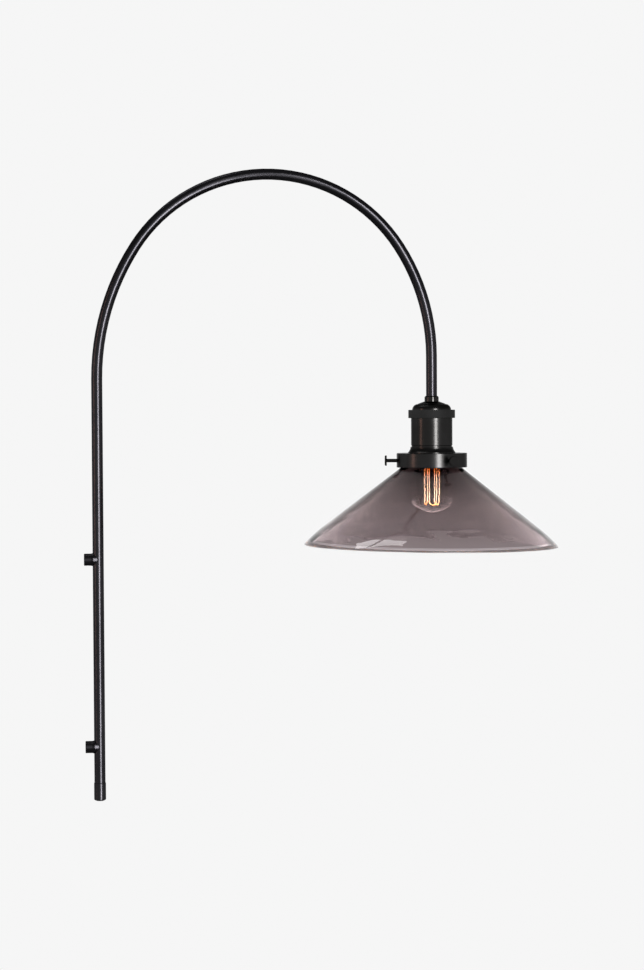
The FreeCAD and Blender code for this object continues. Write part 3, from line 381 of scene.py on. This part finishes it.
@dataclass(frozen=True)
class GlassFinish:
    """A clear or tinted glass, with its ripples, its seeds and a tint that drifts with height.

    The tint runs from low to high between two levels along the piece's own axis, in metres. A
    piece with a rim is paler over rim_depth at its bottom, a painted highlight line along the rim.
    The last rim_ground of that is ground matt, a real ground edge, and the last
    painted_dark_line_depth is painted shade, a dark line painted under the rim. A fade is the share
    of such a depth that is full.
    """

    name: str
    low: Colour
    middle: Colour
    high: Colour
    shadow: Colour
    bottom: float
    top: float
    wave_scale: float
    wave_depth: float
    seed_depth: float = 0.0001
    drift: float = 0.12
    ior: float = 1.5
    lean: float = 0.0
    # Painted highlight: the rim's pale colour, laid over the real ground edge.
    rim: Colour | None = None
    rim_depth: float = 0.0028
    rim_ground: float = 0.0009
    rim_roughness: float = 0.6
    # Painted shade: the dark line painted at the very bottom of the rim.
    foot: Colour = (0.05, 0.04, 0.042, 1.0)
    painted_dark_line_depth: float = 0.0004
    rim_fade: float = 0.6
    ground_fade: float = 0.5

    def material(self) -> bpy.types.Material:
        """Make the glass's nodes.

        Returns:
            The glass as a material.
        """
        material, recipe, shader, output = new_material(self.name)
        shader.inputs["Metallic"].default_value = 0.0
        shader.inputs["Transmission Weight"].default_value = 1.0
        shader.inputs["Roughness"].default_value = 0.0
        shader.inputs["IOR"].default_value = self.ior
        waves = SHELF.place(recipe, Effect.WAVES, Scale=self.wave_scale,
                            Streak=self.wave_scale * 0.5)
        height = self._height(recipe)
        tint, tint_output = self._tint(recipe, waves, height), "Color"
        # Painted rim lines: a paler band as a painted highlight and a dark foot as painted shade.
        if self.rim is not None:
            tint, tint_output = self._rim_tint_with_painted_lines(recipe, tint, height), MIXED
            ground = recipe.spread(height, "Value", 0.0, self.rim_roughness,
                                   self.bottom + self.rim_ground,
                                   self.bottom + self.rim_ground * self.ground_fade)
            recipe.join(ground, "Result", shader, "Roughness")
        recipe.join(tint, tint_output, shader, "Base Color")
        seeds = SHELF.place(recipe, Effect.SPECKS)
        dents = recipe.add("Bump", Strength=1.0, Distance=self.seed_depth)
        recipe.join(seeds, "Mask", dents, "Height")
        ripple = recipe.add("Bump", Strength=1.0, Distance=self.wave_depth)
        recipe.join(waves, "Height", ripple, "Height")
        recipe.join(dents, "Normal", ripple, "Normal")
        recipe.join(ripple, "Normal", shader, "Normal")
        rays = recipe.add("LightPath")
        passing = recipe.add("BsdfTransparent", Color=self.shadow)
        mix = recipe.add("MixShader")
        recipe.join(rays, "Is Shadow Ray", mix, "Fac")
        recipe.join(shader, "BSDF", mix, 1)
        recipe.join(passing, "BSDF", mix, 2)
        recipe.join(mix, "Shader", output, "Surface")
        return material

    def _height(self, recipe: Recipe) -> bpy.types.Node:
        """Measure the height along the piece's own axis.

        Args:
            recipe: the material's tree.

        Returns:
            The node whose Value is the height, in metres.
        """
        place = recipe.add("TexCoord")
        height = recipe.add("VectorMath", {"operation": "DOT_PRODUCT"})
        turn = math.radians(self.lean)
        height.inputs[1].default_value = (math.sin(turn), 0.0, math.cos(turn))
        recipe.join(place, "Object", height, 0)
        return height

    def _tint(self, recipe: Recipe, waves: bpy.types.Node,
              height: bpy.types.Node) -> bpy.types.Node:
        """Lay the tint over the height.

        Args:
            recipe: the material's tree.
            waves: the placed group whose Tone lets the tint drift.
            height: the node that gives the height.

        Returns:
            The node whose Color is the tint.
        """
        share = recipe.spread(height, "Value", 0.0, 1.0, self.bottom, self.top, clamp=False)
        drift = recipe.spread(waves, "Tone", -self.drift, self.drift)
        total = recipe.add("Math", {"operation": "ADD"})
        recipe.join(share, "Result", total, 0)
        recipe.join(drift, "Result", total, 1)
        ramp = recipe.ramp([(0.0, self.low), (0.5, self.middle), (1.0, self.high)])
        recipe.join(total, 0, ramp, "Fac")
        return ramp

    def _rim_tint_with_painted_lines(self, recipe: Recipe, tint: bpy.types.Node,
                  height: bpy.types.Node) -> bpy.types.Node:
        """Lay the pale rim, a painted highlight line, and its dark foot, a painted shade line, over
        the tint.

        Args:
            recipe: the material's tree.
            tint: the node whose Color is the tint above the rim.
            height: the node that gives the height.

        Returns:
            The node whose output MIXED is the whole tint.
        """
        edge = recipe.spread(height, "Value", 0.0, 1.0, self.bottom + self.rim_depth,
                             self.bottom + self.rim_depth * self.rim_fade,
                             interpolation_type="SMOOTHSTEP")
        # Painted shade: a dark line along the very bottom of the rim.
        foot = recipe.spread(height, "Value", 0.0, 1.0,
                             self.bottom + self.painted_dark_line_depth * self.rim_fade,
                             self.bottom + self.painted_dark_line_depth)
        # The pale rim band is a painted highlight line, and the dark foot is painted shade.
        pale = recipe.mix(foot, "Result", first=self.foot, second=self.rim)
        whole = recipe.mix(edge, "Result")
        recipe.join(tint, "Color", whole, FIRST)
        recipe.join(pale, MIXED, whole, SECOND)
        return whole


@dataclass(frozen=True)
class GlowFinish:
    """A glowing wire, hottest along its middle and cooler towards its two ends.

    It is dark to rays that reach it after more than direct_depth bounces, so that light which
    wanders inside the glass walls doesn't fog the globe.
    """

    name: str
    hot: Colour
    cool: Colour
    strength: float
    low: float
    high: float
    direct_depth: float = 4.0

    def material(self) -> bpy.types.Material:
        """Make the glow's nodes.

        Returns:
            The glow as a material.
        """
        material, recipe, shader, _ = new_material(self.name)
        shader.inputs["Base Color"].default_value = (0.05, 0.04, 0.03, 1.0)
        shader.inputs["Roughness"].default_value = 0.6
        rays = recipe.add("LightPath")
        power = recipe.spread(rays, "Ray Depth", self.strength, 0.0, self.direct_depth,
                              self.direct_depth + 1.0)
        recipe.join(power, "Result", shader, "Emission Strength")
        place = recipe.add("TexCoord")
        axes = recipe.add("SeparateXYZ")
        recipe.join(place, "Object", axes, "Vector")
        along = recipe.spread(axes, "Z", 0.0, 1.0, self.low, self.high)
        ramp = recipe.ramp([(0.0, self.cool), (0.14, self.hot), (0.72, self.hot), (0.88, self.cool)])
        recipe.join(along, "Result", ramp, "Fac")
        recipe.join(ramp, "Color", shader, "Emission Color")
        return material


Finish = SolidFinish | GlassFinish | GlowFinish

BLACK = (0.0195, 0.019, 0.0185, 1.0)
BLACK_LIT = (0.026, 0.0255, 0.0255, 1.0)
EDGE = (0.50, 0.50, 0.50, 1.0)

ARM_LACQUER = SolidFinish("arm_satin_lacquer", (0.020, 0.0195, 0.022, 1.0),
                          (0.027, 0.026, 0.029, 1.0), (0.2, 0.28), metallic=1.0,
                          edge=EDGE)
HOLDER_LACQUER = SolidFinish("holder_lacquer", BLACK, BLACK_LIT, (0.2, 0.28), metallic=1.0,
                             edge=EDGE)
GLOSS_LACQUER = SolidFinish("gloss_lacquer", BLACK, BLACK_LIT, (0.07, 0.11), metallic=1.0,
                            edge=EDGE)
MATT_LACQUER = SolidFinish("matt_lacquer", grey(0.022), grey(0.031), (0.6, 0.72),
                           specular=0.05)
ZINC = SolidFinish("zinc_plate", grey(0.5), grey(0.62), (0.28, 0.42), metallic=1.0)
BRASS = SolidFinish("brass", (0.62, 0.42, 0.17, 1.0), (0.75, 0.55, 0.27, 1.0), (0.2, 0.34),
                    metallic=1.0)
NICKEL = SolidFinish("nickel", (0.6, 0.57, 0.52, 1.0), (0.72, 0.7, 0.66, 1.0), (0.16, 0.28),
                     metallic=1.0)
SOLDER = SolidFinish("solder", grey(0.42), grey(0.6), (0.35, 0.5), metallic=1.0,
                     grain_scale=500.0, grain_depth=0.15)
BLACK_PLASTIC = SolidFinish("black_plastic", grey(0.012), grey(0.02), (0.38, 0.5))
FLEX_JACKET = SolidFinish("flex_jacket", grey(0.018), grey(0.028), (0.5, 0.62))
LIVE_JACKET = SolidFinish("live_jacket", (0.2, 0.07, 0.03, 1.0), (0.27, 0.1, 0.04, 1.0), (0.3, 0.42))
NEUTRAL_JACKET = SolidFinish("neutral_jacket", (0.02, 0.08, 0.38, 1.0), (0.03, 0.11, 0.47, 1.0),
                             (0.3, 0.42))
EARTH_JACKET = SolidFinish("earth_jacket", (0.16, 0.36, 0.04, 1.0), (0.3, 0.5, 0.06, 1.0),
                           (0.3, 0.42))
PORCELAIN = SolidFinish("porcelain", (0.78, 0.77, 0.73, 1.0), (0.86, 0.85, 0.82, 1.0),
                        (0.1, 0.2), grain_scale=300.0)
HOOK_WIRE = SolidFinish("hook_wire", grey(0.3), grey(0.4), (0.35, 0.5), metallic=1.0)


def dress(node: bpy.types.Object, material: bpy.types.Material) -> None:
    """Give an object one material, in place of any that it has.

    Args:
        node: the object to dress.
        material: the material it takes.
    """
    node.data.materials.clear()
    node.data.materials.append(material)


# --------------------------------------------------------------------------- sub-assemblies


@dataclass(frozen=True)
class Assembly:
    """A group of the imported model's nodes that are dressed together."""

    nodes: dict[str, bpy.types.Object]

    def finishes(self) -> dict[str, Finish]:
        """Return the finish of each node of the group."""
        raise NotImplementedError

    def build(self) -> None:
        """Dress each node of the group in its finish."""
        for name, finish in self.finishes().items():
            if finish.name not in MADE:
                MADE[finish.name] = finish.material()
            dress(self.nodes[name], MADE[finish.name])
            LOG.info("dressed %s in %s", name, finish.name)


class ArmAssembly(Assembly):
    """The arm, its wall bosses, its lower end and the flex inside it."""

    def finishes(self) -> dict[str, Finish]:
        """Return the finish of each node of the group."""
        return {
            "arm_tube": ARM_LACQUER, "upper_wall_boss": ARM_LACQUER,
            "lower_wall_boss": ARM_LACQUER, "upper_boss_grub_screw": ZINC,
            "lower_boss_grub_screw": ZINC, "end_ferrule": ARM_LACQUER,
            "cord_bush": BLACK_PLASTIC, "internal_flex": FLEX_JACKET,
            "live_core": LIVE_JACKET, "neutral_core": NEUTRAL_JACKET, "earth_core": EARTH_JACKET,
        }


class HolderAssembly(Assembly):
    """The lampholder with its collar, dome, body and inner pieces."""

    def finishes(self) -> dict[str, Finish]:
        """Return the finish of each node of the group."""
        return {
            "neck_collar": GLOSS_LACQUER, "neck_grub_screw": ZINC, "holder_cap": HOLDER_LACQUER,
            "tube_lock_nut": ZINC, "earth_tag_washer": BRASS, "earth_screw": ZINC,
            "collar_ring": MATT_LACQUER, "holder_body": HOLDER_LACQUER,
            "porcelain_insert": PORCELAIN, "screw_shell": BRASS, "centre_contact": BRASS,
            "side_contact": BRASS, "terminal_screws": ZINC,
        }


class GalleryAssembly(Assembly):
    """The shade gallery, its ring and its thumbscrews."""

    def finishes(self) -> dict[str, Finish]:
        """Return the finish of each node of the group."""
        screws = ("thumbscrew_rear", "thumbscrew_left", "thumbscrew_front")
        return {"shade_gallery": HOLDER_LACQUER, "gallery_retaining_ring": HOLDER_LACQUER,
                **dict.fromkeys(screws, GLOSS_LACQUER)}


def smoke_glass(shade: "BlownShade") -> GlassFinish:
    """Mix the shade's glass, darker towards its neck, with a painted pale line and a painted dark
    line at its rim.

    Args:
        shade: the shade, whose lean and shoulder the tint follows.

    Returns:
        The glass.
    """
    low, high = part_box("glass_shade")
    turn = math.radians(shade.lean)
    bottom = (low.x + high.x) / 2 * math.sin(turn) + low.z * math.cos(turn)
    # The rim colour is a painted highlight line along the rim, over its ground edge.
    return GlassFinish("smoke_glass", (0.27, 0.22, 0.228, 1.0), (0.165, 0.126, 0.127, 1.0),
                       (0.012, 0.005, 0.005, 1.0), (0.45, 0.38, 0.40, 1.0), bottom,
                       bottom + shade.shoulder_height, wave_scale=14.0, wave_depth=0.0001,
                       drift=0.08, lean=shade.lean, rim=(0.80, 0.76, 0.78, 1.0))


def clear_glass() -> GlassFinish:
    """Mix the bulb's glass, a little smoked by use.

    Returns:
        The glass.
    """
    low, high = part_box("bulb_glass")
    return GlassFinish("clear_glass", (0.97, 0.95, 0.94, 1.0), (0.96, 0.93, 0.92, 1.0),
                       (0.93, 0.88, 0.86, 1.0), (0.95, 0.9, 0.88, 1.0), low.z, high.z,
                       wave_scale=30.0, wave_depth=0.000005, seed_depth=0.0, ior=1.4)


class BulbAssembly(Assembly):
    """The bulb and everything inside it."""

    def finishes(self) -> dict[str, Finish]:
        """Return the finish of each node of the group."""
        low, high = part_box("bulb_filament")
        glow = GlowFinish("filament_glow", (1.0, 0.84, 0.58, 1.0), (1.0, 0.36, 0.06, 1.0), 200.0,
                          low.z, high.z)
        return {
            "bulb_cap": NICKEL, "bulb_insulator": BLACK_PLASTIC, "bulb_end_contact": SOLDER,
            "bulb_stem": clear_glass(), "bulb_filament": glow,
            "filament_hooks": HOOK_WIRE, "bulb_lead_wires": HOOK_WIRE,
        }


# --------------------------------------------------------------------------- glass and filament


def arc(start: Vector, end: Vector, radius: float, count: int, bulge: int = 1) -> list[Vector]:
    """Return points along the shorter arc between two points of an upright section.

    Args:
        start: the first point, as (radius, height).
        end: the last point.
        radius: the arc's radius.
        count: how many stretches the arc is made of.
        bulge: 1 where the arc bulges to the left of the way on, and -1 to the right.

    Returns:
        The points from start to just before end.
    """
    chord = end - start
    across = Vector((-chord.y, chord.x)).normalized() * bulge
    centre = start + chord / 2 - across * math.sqrt(radius ** 2 - chord.length_squared / 4)
    first = start - centre
    turn = first.angle_signed(end - centre)
    return [centre + Matrix.Rotation(-turn * step / count, 2) @ first for step in range(count)]


def line(start: Vector, end: Vector, count: int) -> list[Vector]:
    """Return points along a straight stretch, from start to just before end."""
    return [start.lerp(end, step / count) for step in range(count)]


def rounded(before: list[Vector], corner: Vector, after: list[Vector], radius: float,
            count: int = 8) -> list[Vector]:
    """Round the corner between two runs of points.

    Args:
        before: the points up to the corner.
        corner: the sharp corner.
        after: the points from the corner on.
        radius: the rounding's radius.
        count: how many stretches the rounding is made of.

    Returns:
        Both runs with the rounding between them.
    """
    back = (before[-1] - corner).normalized()
    onward = (after[0] - corner).normalized()
    reach = radius / math.tan(back.angle(onward) / 2)
    start, end = corner + back * reach, corner + onward * reach
    return [*(p for p in before if (p - corner).length > reach), *arc(start, end, radius, count),
            end, *(p for p in after if (p - corner).length > reach)]


@dataclass(frozen=True)
class Lathe:
    """Turns a section about an upright axis into a closed, smooth mesh."""

    steps: int = 240
    crease: float = math.radians(32.0)
    weld: float = 1e-6

    def turn(self, section: list[Vector], axis: Vector, closed: bool) -> bmesh.types.BMesh:
        """Spin the section.

        Args:
            section: its points, as (radius, height from the axis point).
            axis: the point of the axis that the heights start from.
            closed: whether the section is a loop, and not a line between two axis points.

        Returns:
            The spun mesh, its faces outward and its creases sharp.
        """
        mesh = bmesh.new()
        points = [mesh.verts.new((p.x, 0.0, p.y)) for p in section]
        pairs = list(zip(points, points[1:]))
        if closed:
            pairs.append((points[-1], points[0]))
        edges = [mesh.edges.new(pair) for pair in pairs]
        bmesh.ops.spin(mesh, geom=points + edges, cent=(0.0, 0.0, 0.0), axis=(0.0, 0.0, 1.0),
                       angle=math.tau, steps=self.steps, use_merge=True)
        bmesh.ops.remove_doubles(mesh, verts=mesh.verts, dist=self.weld)
        bmesh.ops.recalc_face_normals(mesh, faces=mesh.faces)
        for face in mesh.faces:
            face.smooth = True
        for edge in mesh.edges:
            edge.smooth = edge.calc_face_angle(0.0) < self.crease
        bmesh.ops.translate(mesh, verts=mesh.verts, vec=axis)
        return mesh


def make_piece(name: str, mesh: bmesh.types.BMesh, material: bpy.types.Material,
               stands_for: str, body: str) -> bpy.types.Object:
    """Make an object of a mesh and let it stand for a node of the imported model.

    Args:
        name: the piece's name.
        mesh: its mesh, which is used up.
        material: its material.
        stands_for: the node that it replaces.
        body: the body that it moves with.

    Returns:
        The new object.
    """
    data = bpy.data.meshes.new(name)
    mesh.to_mesh(data)
    mesh.free()
    piece = bpy.data.objects.new(name, data)
    bpy.context.scene.collection.objects.link(piece)
    dress(piece, material)
    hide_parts(stands_for)
    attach(piece, body)
    return piece


@dataclass(frozen=True)
class BlownShade:
    """The smoke glass shade, its wall rippled as blown glass is. Heights are above the rim."""

    shoulder_radius: float = 0.0304
    shoulder_height: float = 0.0768
    neck_radius: float = 0.0302
    neck_height: float = 0.0784
    neck_wall: float = 0.0026
    lip_height: float = 0.0028
    lip_radius: float = 0.0325
    inner_shoulder_height: float = 0.0756
    bend_radius: float = 0.1043
    bend_height: float = 0.0198
    rim_radius: float = 0.1259
    bow_radius: float = 0.146
    skirt_wall: float = 0.005
    rim_width: float = 0.0074
    rim_round: float = 0.0006
    inner_rim_round: float = 0.0012
    seat_level: float = 0.084
    lean: float = 0.8
    straight_steps: int = 44
    bow_steps: int = 22
    inner_bow_steps: int = 18
    swell: float = 0.0003
    swell_scale: float = 18.0
    ripple: float = 0.00016
    ripple_scale: float = 42.0
    ripple_squash: float = 3.0

    def section(self, top: float) -> list[Vector]:
        """Draw the closed section of the wall.

        Args:
            top: the lip's height above the rim.

        Returns:
            Its points, as (radius, height above the rim).
        """
        shoulder = Vector((self.shoulder_radius, self.shoulder_height))
        bend = Vector((self.bend_radius, self.bend_height))
        slope = (bend - shoulder).normalized()
        inner_bend = bend + Vector((slope.y, -slope.x)) * self.skirt_wall
        rim = Vector((self.rim_radius, 0.0))
        inner_rim = Vector((self.rim_radius - self.rim_width, 0.0))
        inside = arc(inner_rim, inner_bend, self.bow_radius - self.skirt_wall,
                     self.inner_bow_steps, -1)[1:]
        foot = rounded(arc(bend, rim, self.bow_radius, self.bow_steps), rim, [inner_rim],
                       self.rim_round)
        foot = rounded(foot[:-1], inner_rim, inside, self.inner_rim_round)
        bore = self.neck_radius - self.neck_wall
        under_lip = top - self.lip_height
        return [
            *line(Vector((bore, top)), Vector((self.lip_radius, top)), 2),
            Vector((self.lip_radius, top)), Vector((self.lip_radius, under_lip)),
            Vector((self.neck_radius, under_lip)), Vector((self.neck_radius, self.neck_height)),
            *line(shoulder, bend, self.straight_steps), *foot,
            *line(inner_bend, Vector((bore, self.inner_shoulder_height)), self.straight_steps),
            Vector((bore, self.inner_shoulder_height)),
        ]

    def build(self, material: bpy.types.Material) -> bpy.types.Object:
        """Blow the shade.

        Args:
            material: the glass.

        Returns:
            The shade's object.
        """
        low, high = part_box("glass_shade")
        axis = Vector(((low.x + high.x) / 2, 0.0, low.z))
        mesh = Lathe().turn(self.section(high.z - low.z), axis, closed=True)
        mesh.normal_update()
        self._ripple(mesh, axis, high.z)
        seat = Matrix.Translation(axis + Vector((0.0, 0.0, self.seat_level)))
        lean = seat @ Matrix.Rotation(math.radians(self.lean), 4, "Y") @ seat.inverted()
        bmesh.ops.transform(mesh, matrix=lean, verts=mesh.verts)
        return make_piece("blown_shade", mesh, material, "glass_shade", "root")

    def _ripple(self, mesh: bmesh.types.BMesh, axis: Vector, top: float) -> None:
        """Move the wall in by a little, more towards the rim and more on the inner face.

        Args:
            mesh: the spun shade.
            axis: the rim's middle.
            top: the lip's level.
        """
        moves = []
        for vertex in mesh.verts:
            share = max(0.0, 1.0 - (vertex.co.z - axis.z) / (top - axis.z))
            inward = vertex.normal.dot(Vector((vertex.co.x - axis.x, vertex.co.y, 0.0))) < 0
            swell = (noise.noise(vertex.co * self.swell_scale) + 1.0) * self.swell / 2
            place = Vector((vertex.co.x, vertex.co.y, vertex.co.z * self.ripple_squash))
            ripple = (noise.noise(place * self.ripple_scale) + 1.0) * self.ripple * share
            depth = ripple + (swell * share if inward else 0.0)
            moves.append(vertex.normal * depth)
        for vertex, move in zip(mesh.verts, moves):
            vertex.co -= move


@dataclass(frozen=True)
class BlownGlobe:
    """The bulb's clear globe, blended into its neck. Heights are above the globe's bottom."""

    globe_radius: float = 0.0245
    neck_radius: float = 0.012
    neck_blend: float = 0.008
    wall: float = 0.0008
    steps: int = 128
    lower_steps: int = 24
    upper_steps: int = 14
    blend_steps: int = 10

    def section(self, top: float) -> list[Vector]:
        """Draw the section of the wall, from the axis outside to the axis inside.

        Args:
            top: the open neck's height.

        Returns:
            Its points, as (radius, height above the globe's bottom).
        """
        outer = self._skin(self.globe_radius, self.neck_radius, self.neck_blend, top)
        inner = self._skin(self.globe_radius - self.wall, self.neck_radius - self.wall,
                           self.neck_blend + self.wall, top)
        return outer + inner[::-1]

    def _skin(self, globe: float, neck: float, blend: float, top: float) -> list[Vector]:
        """Draw one face of the wall, from the axis up to the open neck.

        Args:
            globe: the globe's radius on this face.
            neck: the neck's radius on this face.
            blend: the radius of the blend between them.
            top: the open neck's height.

        Returns:
            Its points, as (radius, height above the globe's bottom).
        """
        centre = Vector((0.0, self.globe_radius))
        reach = math.sqrt((globe + blend) ** 2 - (neck + blend) ** 2)
        touch = centre + Vector((neck + blend, reach)) * (globe / (globe + blend))
        bottom = centre - Vector((0.0, globe))
        side = centre + Vector((globe, 0.0))
        neck_foot = centre + Vector((neck, reach))
        return [*arc(bottom, side, globe, self.lower_steps, -1),
                *arc(side, touch, globe, self.upper_steps, -1),
                *arc(touch, neck_foot, blend, self.blend_steps), neck_foot, Vector((neck, top))]

    def build(self, material: bpy.types.Material) -> bpy.types.Object:
        """Blow the globe.

        Args:
            material: the glass.

        Returns:
            The globe's object.
        """
        low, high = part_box("bulb_glass")
        axis = Vector(((low.x + high.x) / 2, 0.0, low.z))
        mesh = Lathe(steps=self.steps).turn(self.section(high.z - low.z), axis, closed=False)
        return make_piece("blown_globe", mesh, material, "bulb_glass", "bulb")


# --------------------------------------------------------------------------- studio


@dataclass(frozen=True)
class SoftLamp:
    """A rectangular soft light that faces a point of the object."""

    name: str
    azimuth: float
    height: float
    distance: float
    width: float
    tall: float
    power: float
    tint: tuple[float, float, float] = (1.0, 1.0, 1.0)
    roll: float = 0.0
    mirror_only: bool = False

    def build(self, target: Vector) -> None:
        """Hang the lamp and turn it to the target.

        Args:
            target: the point that the lamp faces.
        """
        light = bpy.data.lights.new(self.name, "AREA")
        light.shape = "RECTANGLE"
        light.size = self.width
        light.size_y = self.tall
        light.energy = self.power
        light.color = self.tint
        turn = math.radians(self.azimuth)
        away = Vector((math.sin(turn), -math.cos(turn), 0.0)) * self.distance
        place = target + away + Vector((0.0, 0.0, self.height))
        lamp = bpy.data.objects.new(self.name, light)
        lamp.location = place
        turned = (target - place).to_track_quat("-Z", "Y")
        turned = turned @ Quaternion((0.0, 0.0, 1.0), math.radians(self.roll))
        lamp.rotation_euler = turned.to_euler()
        lamp.visible_camera = False
        lamp.visible_diffuse = lamp.visible_transmission = not self.mirror_only
        bpy.context.scene.collection.objects.link(lamp)


@dataclass(frozen=True)
class Studio:
    """The camera, the lamps, the pale floor and the pale surround.

    Each of mirror_levels is a place from straight down (0) to straight up (1) with its level.
    """

    aim: Vector = Vector((0.2332, 0.0, 0.0707))
    distance: float = 2.4
    azimuth: float = -6.0
    pitch: float = 1.9
    roll: float = -0.3
    focal_pixels: float = 2445.0
    picture_height: float = 970.0
    sensor: float = 36.0
    far_clip: float = 50.0
    lamp_target: float = 0.08
    floor_drop: float = 0.9
    floor_radius: float = 2.0
    floor_segments: int = 96
    floor_roughness: float = 0.9
    pale: float = 0.921
    mirror_levels: tuple[tuple[float, float], ...] = (
        (0.0, 0.25), (0.3, 0.25), (0.46, 0.921), (0.54, 0.921), (0.7, 0.25))
    ground_heights: tuple[float, float] = (-0.22, -0.05)
    ground_levels: tuple[float, float] = (8.5, 0.921)
    plain_level: float = 0.8

    def build(self) -> None:
        """Set up the whole studio."""
        self._camera()
        self._lamps()
        self._surround()
        self._floor()
        bpy.context.scene.view_settings.view_transform = "Standard"

    def _camera(self) -> None:
        """Place the camera at the photograph's angle."""
        turn, tilt, roll = (math.radians(v) for v in (self.azimuth, self.pitch, self.roll))
        back = Vector((math.sin(turn) * math.cos(tilt), -math.cos(turn) * math.cos(tilt),
                       math.sin(tilt)))
        right = (-back).cross(Vector((0.0, 0.0, 1.0))).normalized()
        up = right.cross(-back)
        side = right * math.cos(roll) + up * math.sin(roll)
        top = up * math.cos(roll) - right * math.sin(roll)
        data = bpy.data.cameras.new("product_camera")
        data.sensor_width = self.sensor
        data.lens = self.focal_pixels * self.sensor / self.picture_height
        data.clip_end = self.far_clip
        camera = bpy.data.objects.new("product_camera", data)
        turned = Matrix((side, top, back)).transposed().to_4x4()
        camera.matrix_world = Matrix.Translation(self.aim + back * self.distance) @ turned
        bpy.context.scene.collection.objects.link(camera)
        bpy.context.scene.camera = camera

    def _lamps(self) -> None:
        """Hang the soft lamps."""
        target = Vector((self.aim.x, 0.0, self.lamp_target))
        for lamp in (
            SoftLamp("strip_right", 18.0, 0.0, 1.9, 0.4, 1.8, 88.0, mirror_only=True),
            SoftLamp("strip_left", -70.0, 0.2, 1.8, 0.14, 1.2, 5.0, (1.0, 0.55, 0.42),
                     mirror_only=True),
            SoftLamp("overhead", -114.0, 1.2, 0.49, 0.16, 0.7, 1.6, roll=-18.0),
        ):
            lamp.build(target)

    def _surround(self) -> None:
        """Make the world pale where it is seen, and softly lit elsewhere.

        Reflections on the metal see a pale horizon between darker levels, and reflections
        within the glass see a bright ground.
        """
        world = bpy.data.worlds.new("pale_surround")
        world.use_nodes = True
        bpy.context.scene.world = world
        recipe = Recipe(world.node_tree)
        rays = recipe.add("LightPath")
        place = recipe.add("TexCoord")
        axes = recipe.add("SeparateXYZ")
        recipe.join(place, "Generated", axes, "Vector")
        height = recipe.spread(axes, "Z", 0.0, 1.0, -1.0, 1.0)
        around = recipe.ramp([(at, grey(level)) for at, level in self.mirror_levels])
        recipe.join(height, "Result", around, "Fac")
        within = recipe.spread(axes, "Z", *self.ground_levels, *self.ground_heights)
        inside = recipe.add("Math", {"operation": "GREATER_THAN"})
        recipe.join(rays, "Transmission Depth", inside, 0)
        mirror = recipe.mix(inside, 0)
        recipe.join(around, "Color", mirror, FIRST)
        recipe.join(within, "Result", mirror, SECOND)
        shown = recipe.add("Mix", {"data_type": "FLOAT"})
        shown.inputs["A"].default_value = self.pale
        recipe.join(rays, "Is Reflection Ray", shown, "Factor")
        recipe.join(mirror, MIXED, shown, "B")
        seen = recipe.add("Math", {"operation": "MAXIMUM"})
        recipe.join(rays, "Is Glossy Ray", seen, 0)
        recipe.join(rays, "Is Transmission Ray", seen, 1)
        mirrored = recipe.add("Mix", {"data_type": "FLOAT"})
        mirrored.inputs["A"].default_value = self.plain_level
        recipe.join(seen, 0, mirrored, "Factor")
        recipe.join(shown, "Result", mirrored, "B")
        level = recipe.add("Mix", {"data_type": "FLOAT"})
        level.inputs["B"].default_value = self.pale
        recipe.join(rays, "Is Camera Ray", level, "Factor")
        recipe.join(mirrored, "Result", level, "A")
        shade = recipe.add("Background")
        shade.inputs["Color"].default_value = grey(1.0)
        recipe.join(level, "Result", shade, "Strength")
        output = recipe.add("OutputWorld")
        recipe.join(shade, "Background", output, "Surface")

    def _floor(self) -> None:
        """Lay the pale floor well below the object."""
        mesh = bmesh.new()
        bmesh.ops.create_circle(mesh, cap_ends=True, segments=self.floor_segments,
                                radius=self.floor_radius)
        middle = Matrix.Translation((self.aim.x, 0.0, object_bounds()[0][2] - self.floor_drop))
        bmesh.ops.transform(mesh, matrix=middle, verts=mesh.verts)
        data = bpy.data.meshes.new("pale_floor")
        mesh.to_mesh(data)
        mesh.free()
        floor = bpy.data.objects.new("pale_floor", data)
        floor.visible_glossy = False
        bpy.context.scene.collection.objects.link(floor)
        material, _, shader, _ = new_material("pale_floor")
        shader.inputs["Base Color"].default_value = grey(self.pale)
        shader.inputs["Roughness"].default_value = self.floor_roughness
        dress(floor, material)
        floor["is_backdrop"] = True


def main() -> None:
    """Dress every sub-assembly, blow the shade and the globe, then set up the studio."""
    logging.basicConfig(level=logging.INFO, format="%(message)s")
    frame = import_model()
    nodes = frame["nodes"]
    for assembly in (ArmAssembly(nodes), HolderAssembly(nodes), GalleryAssembly(nodes),
                     BulbAssembly(nodes)):
        assembly.build()
    shade = BlownShade()
    shade.build(smoke_glass(shade).material())
    BlownGlobe().build(MADE["clear_glass"])
    Studio().build()


if __name__ == "__main__":
    main()
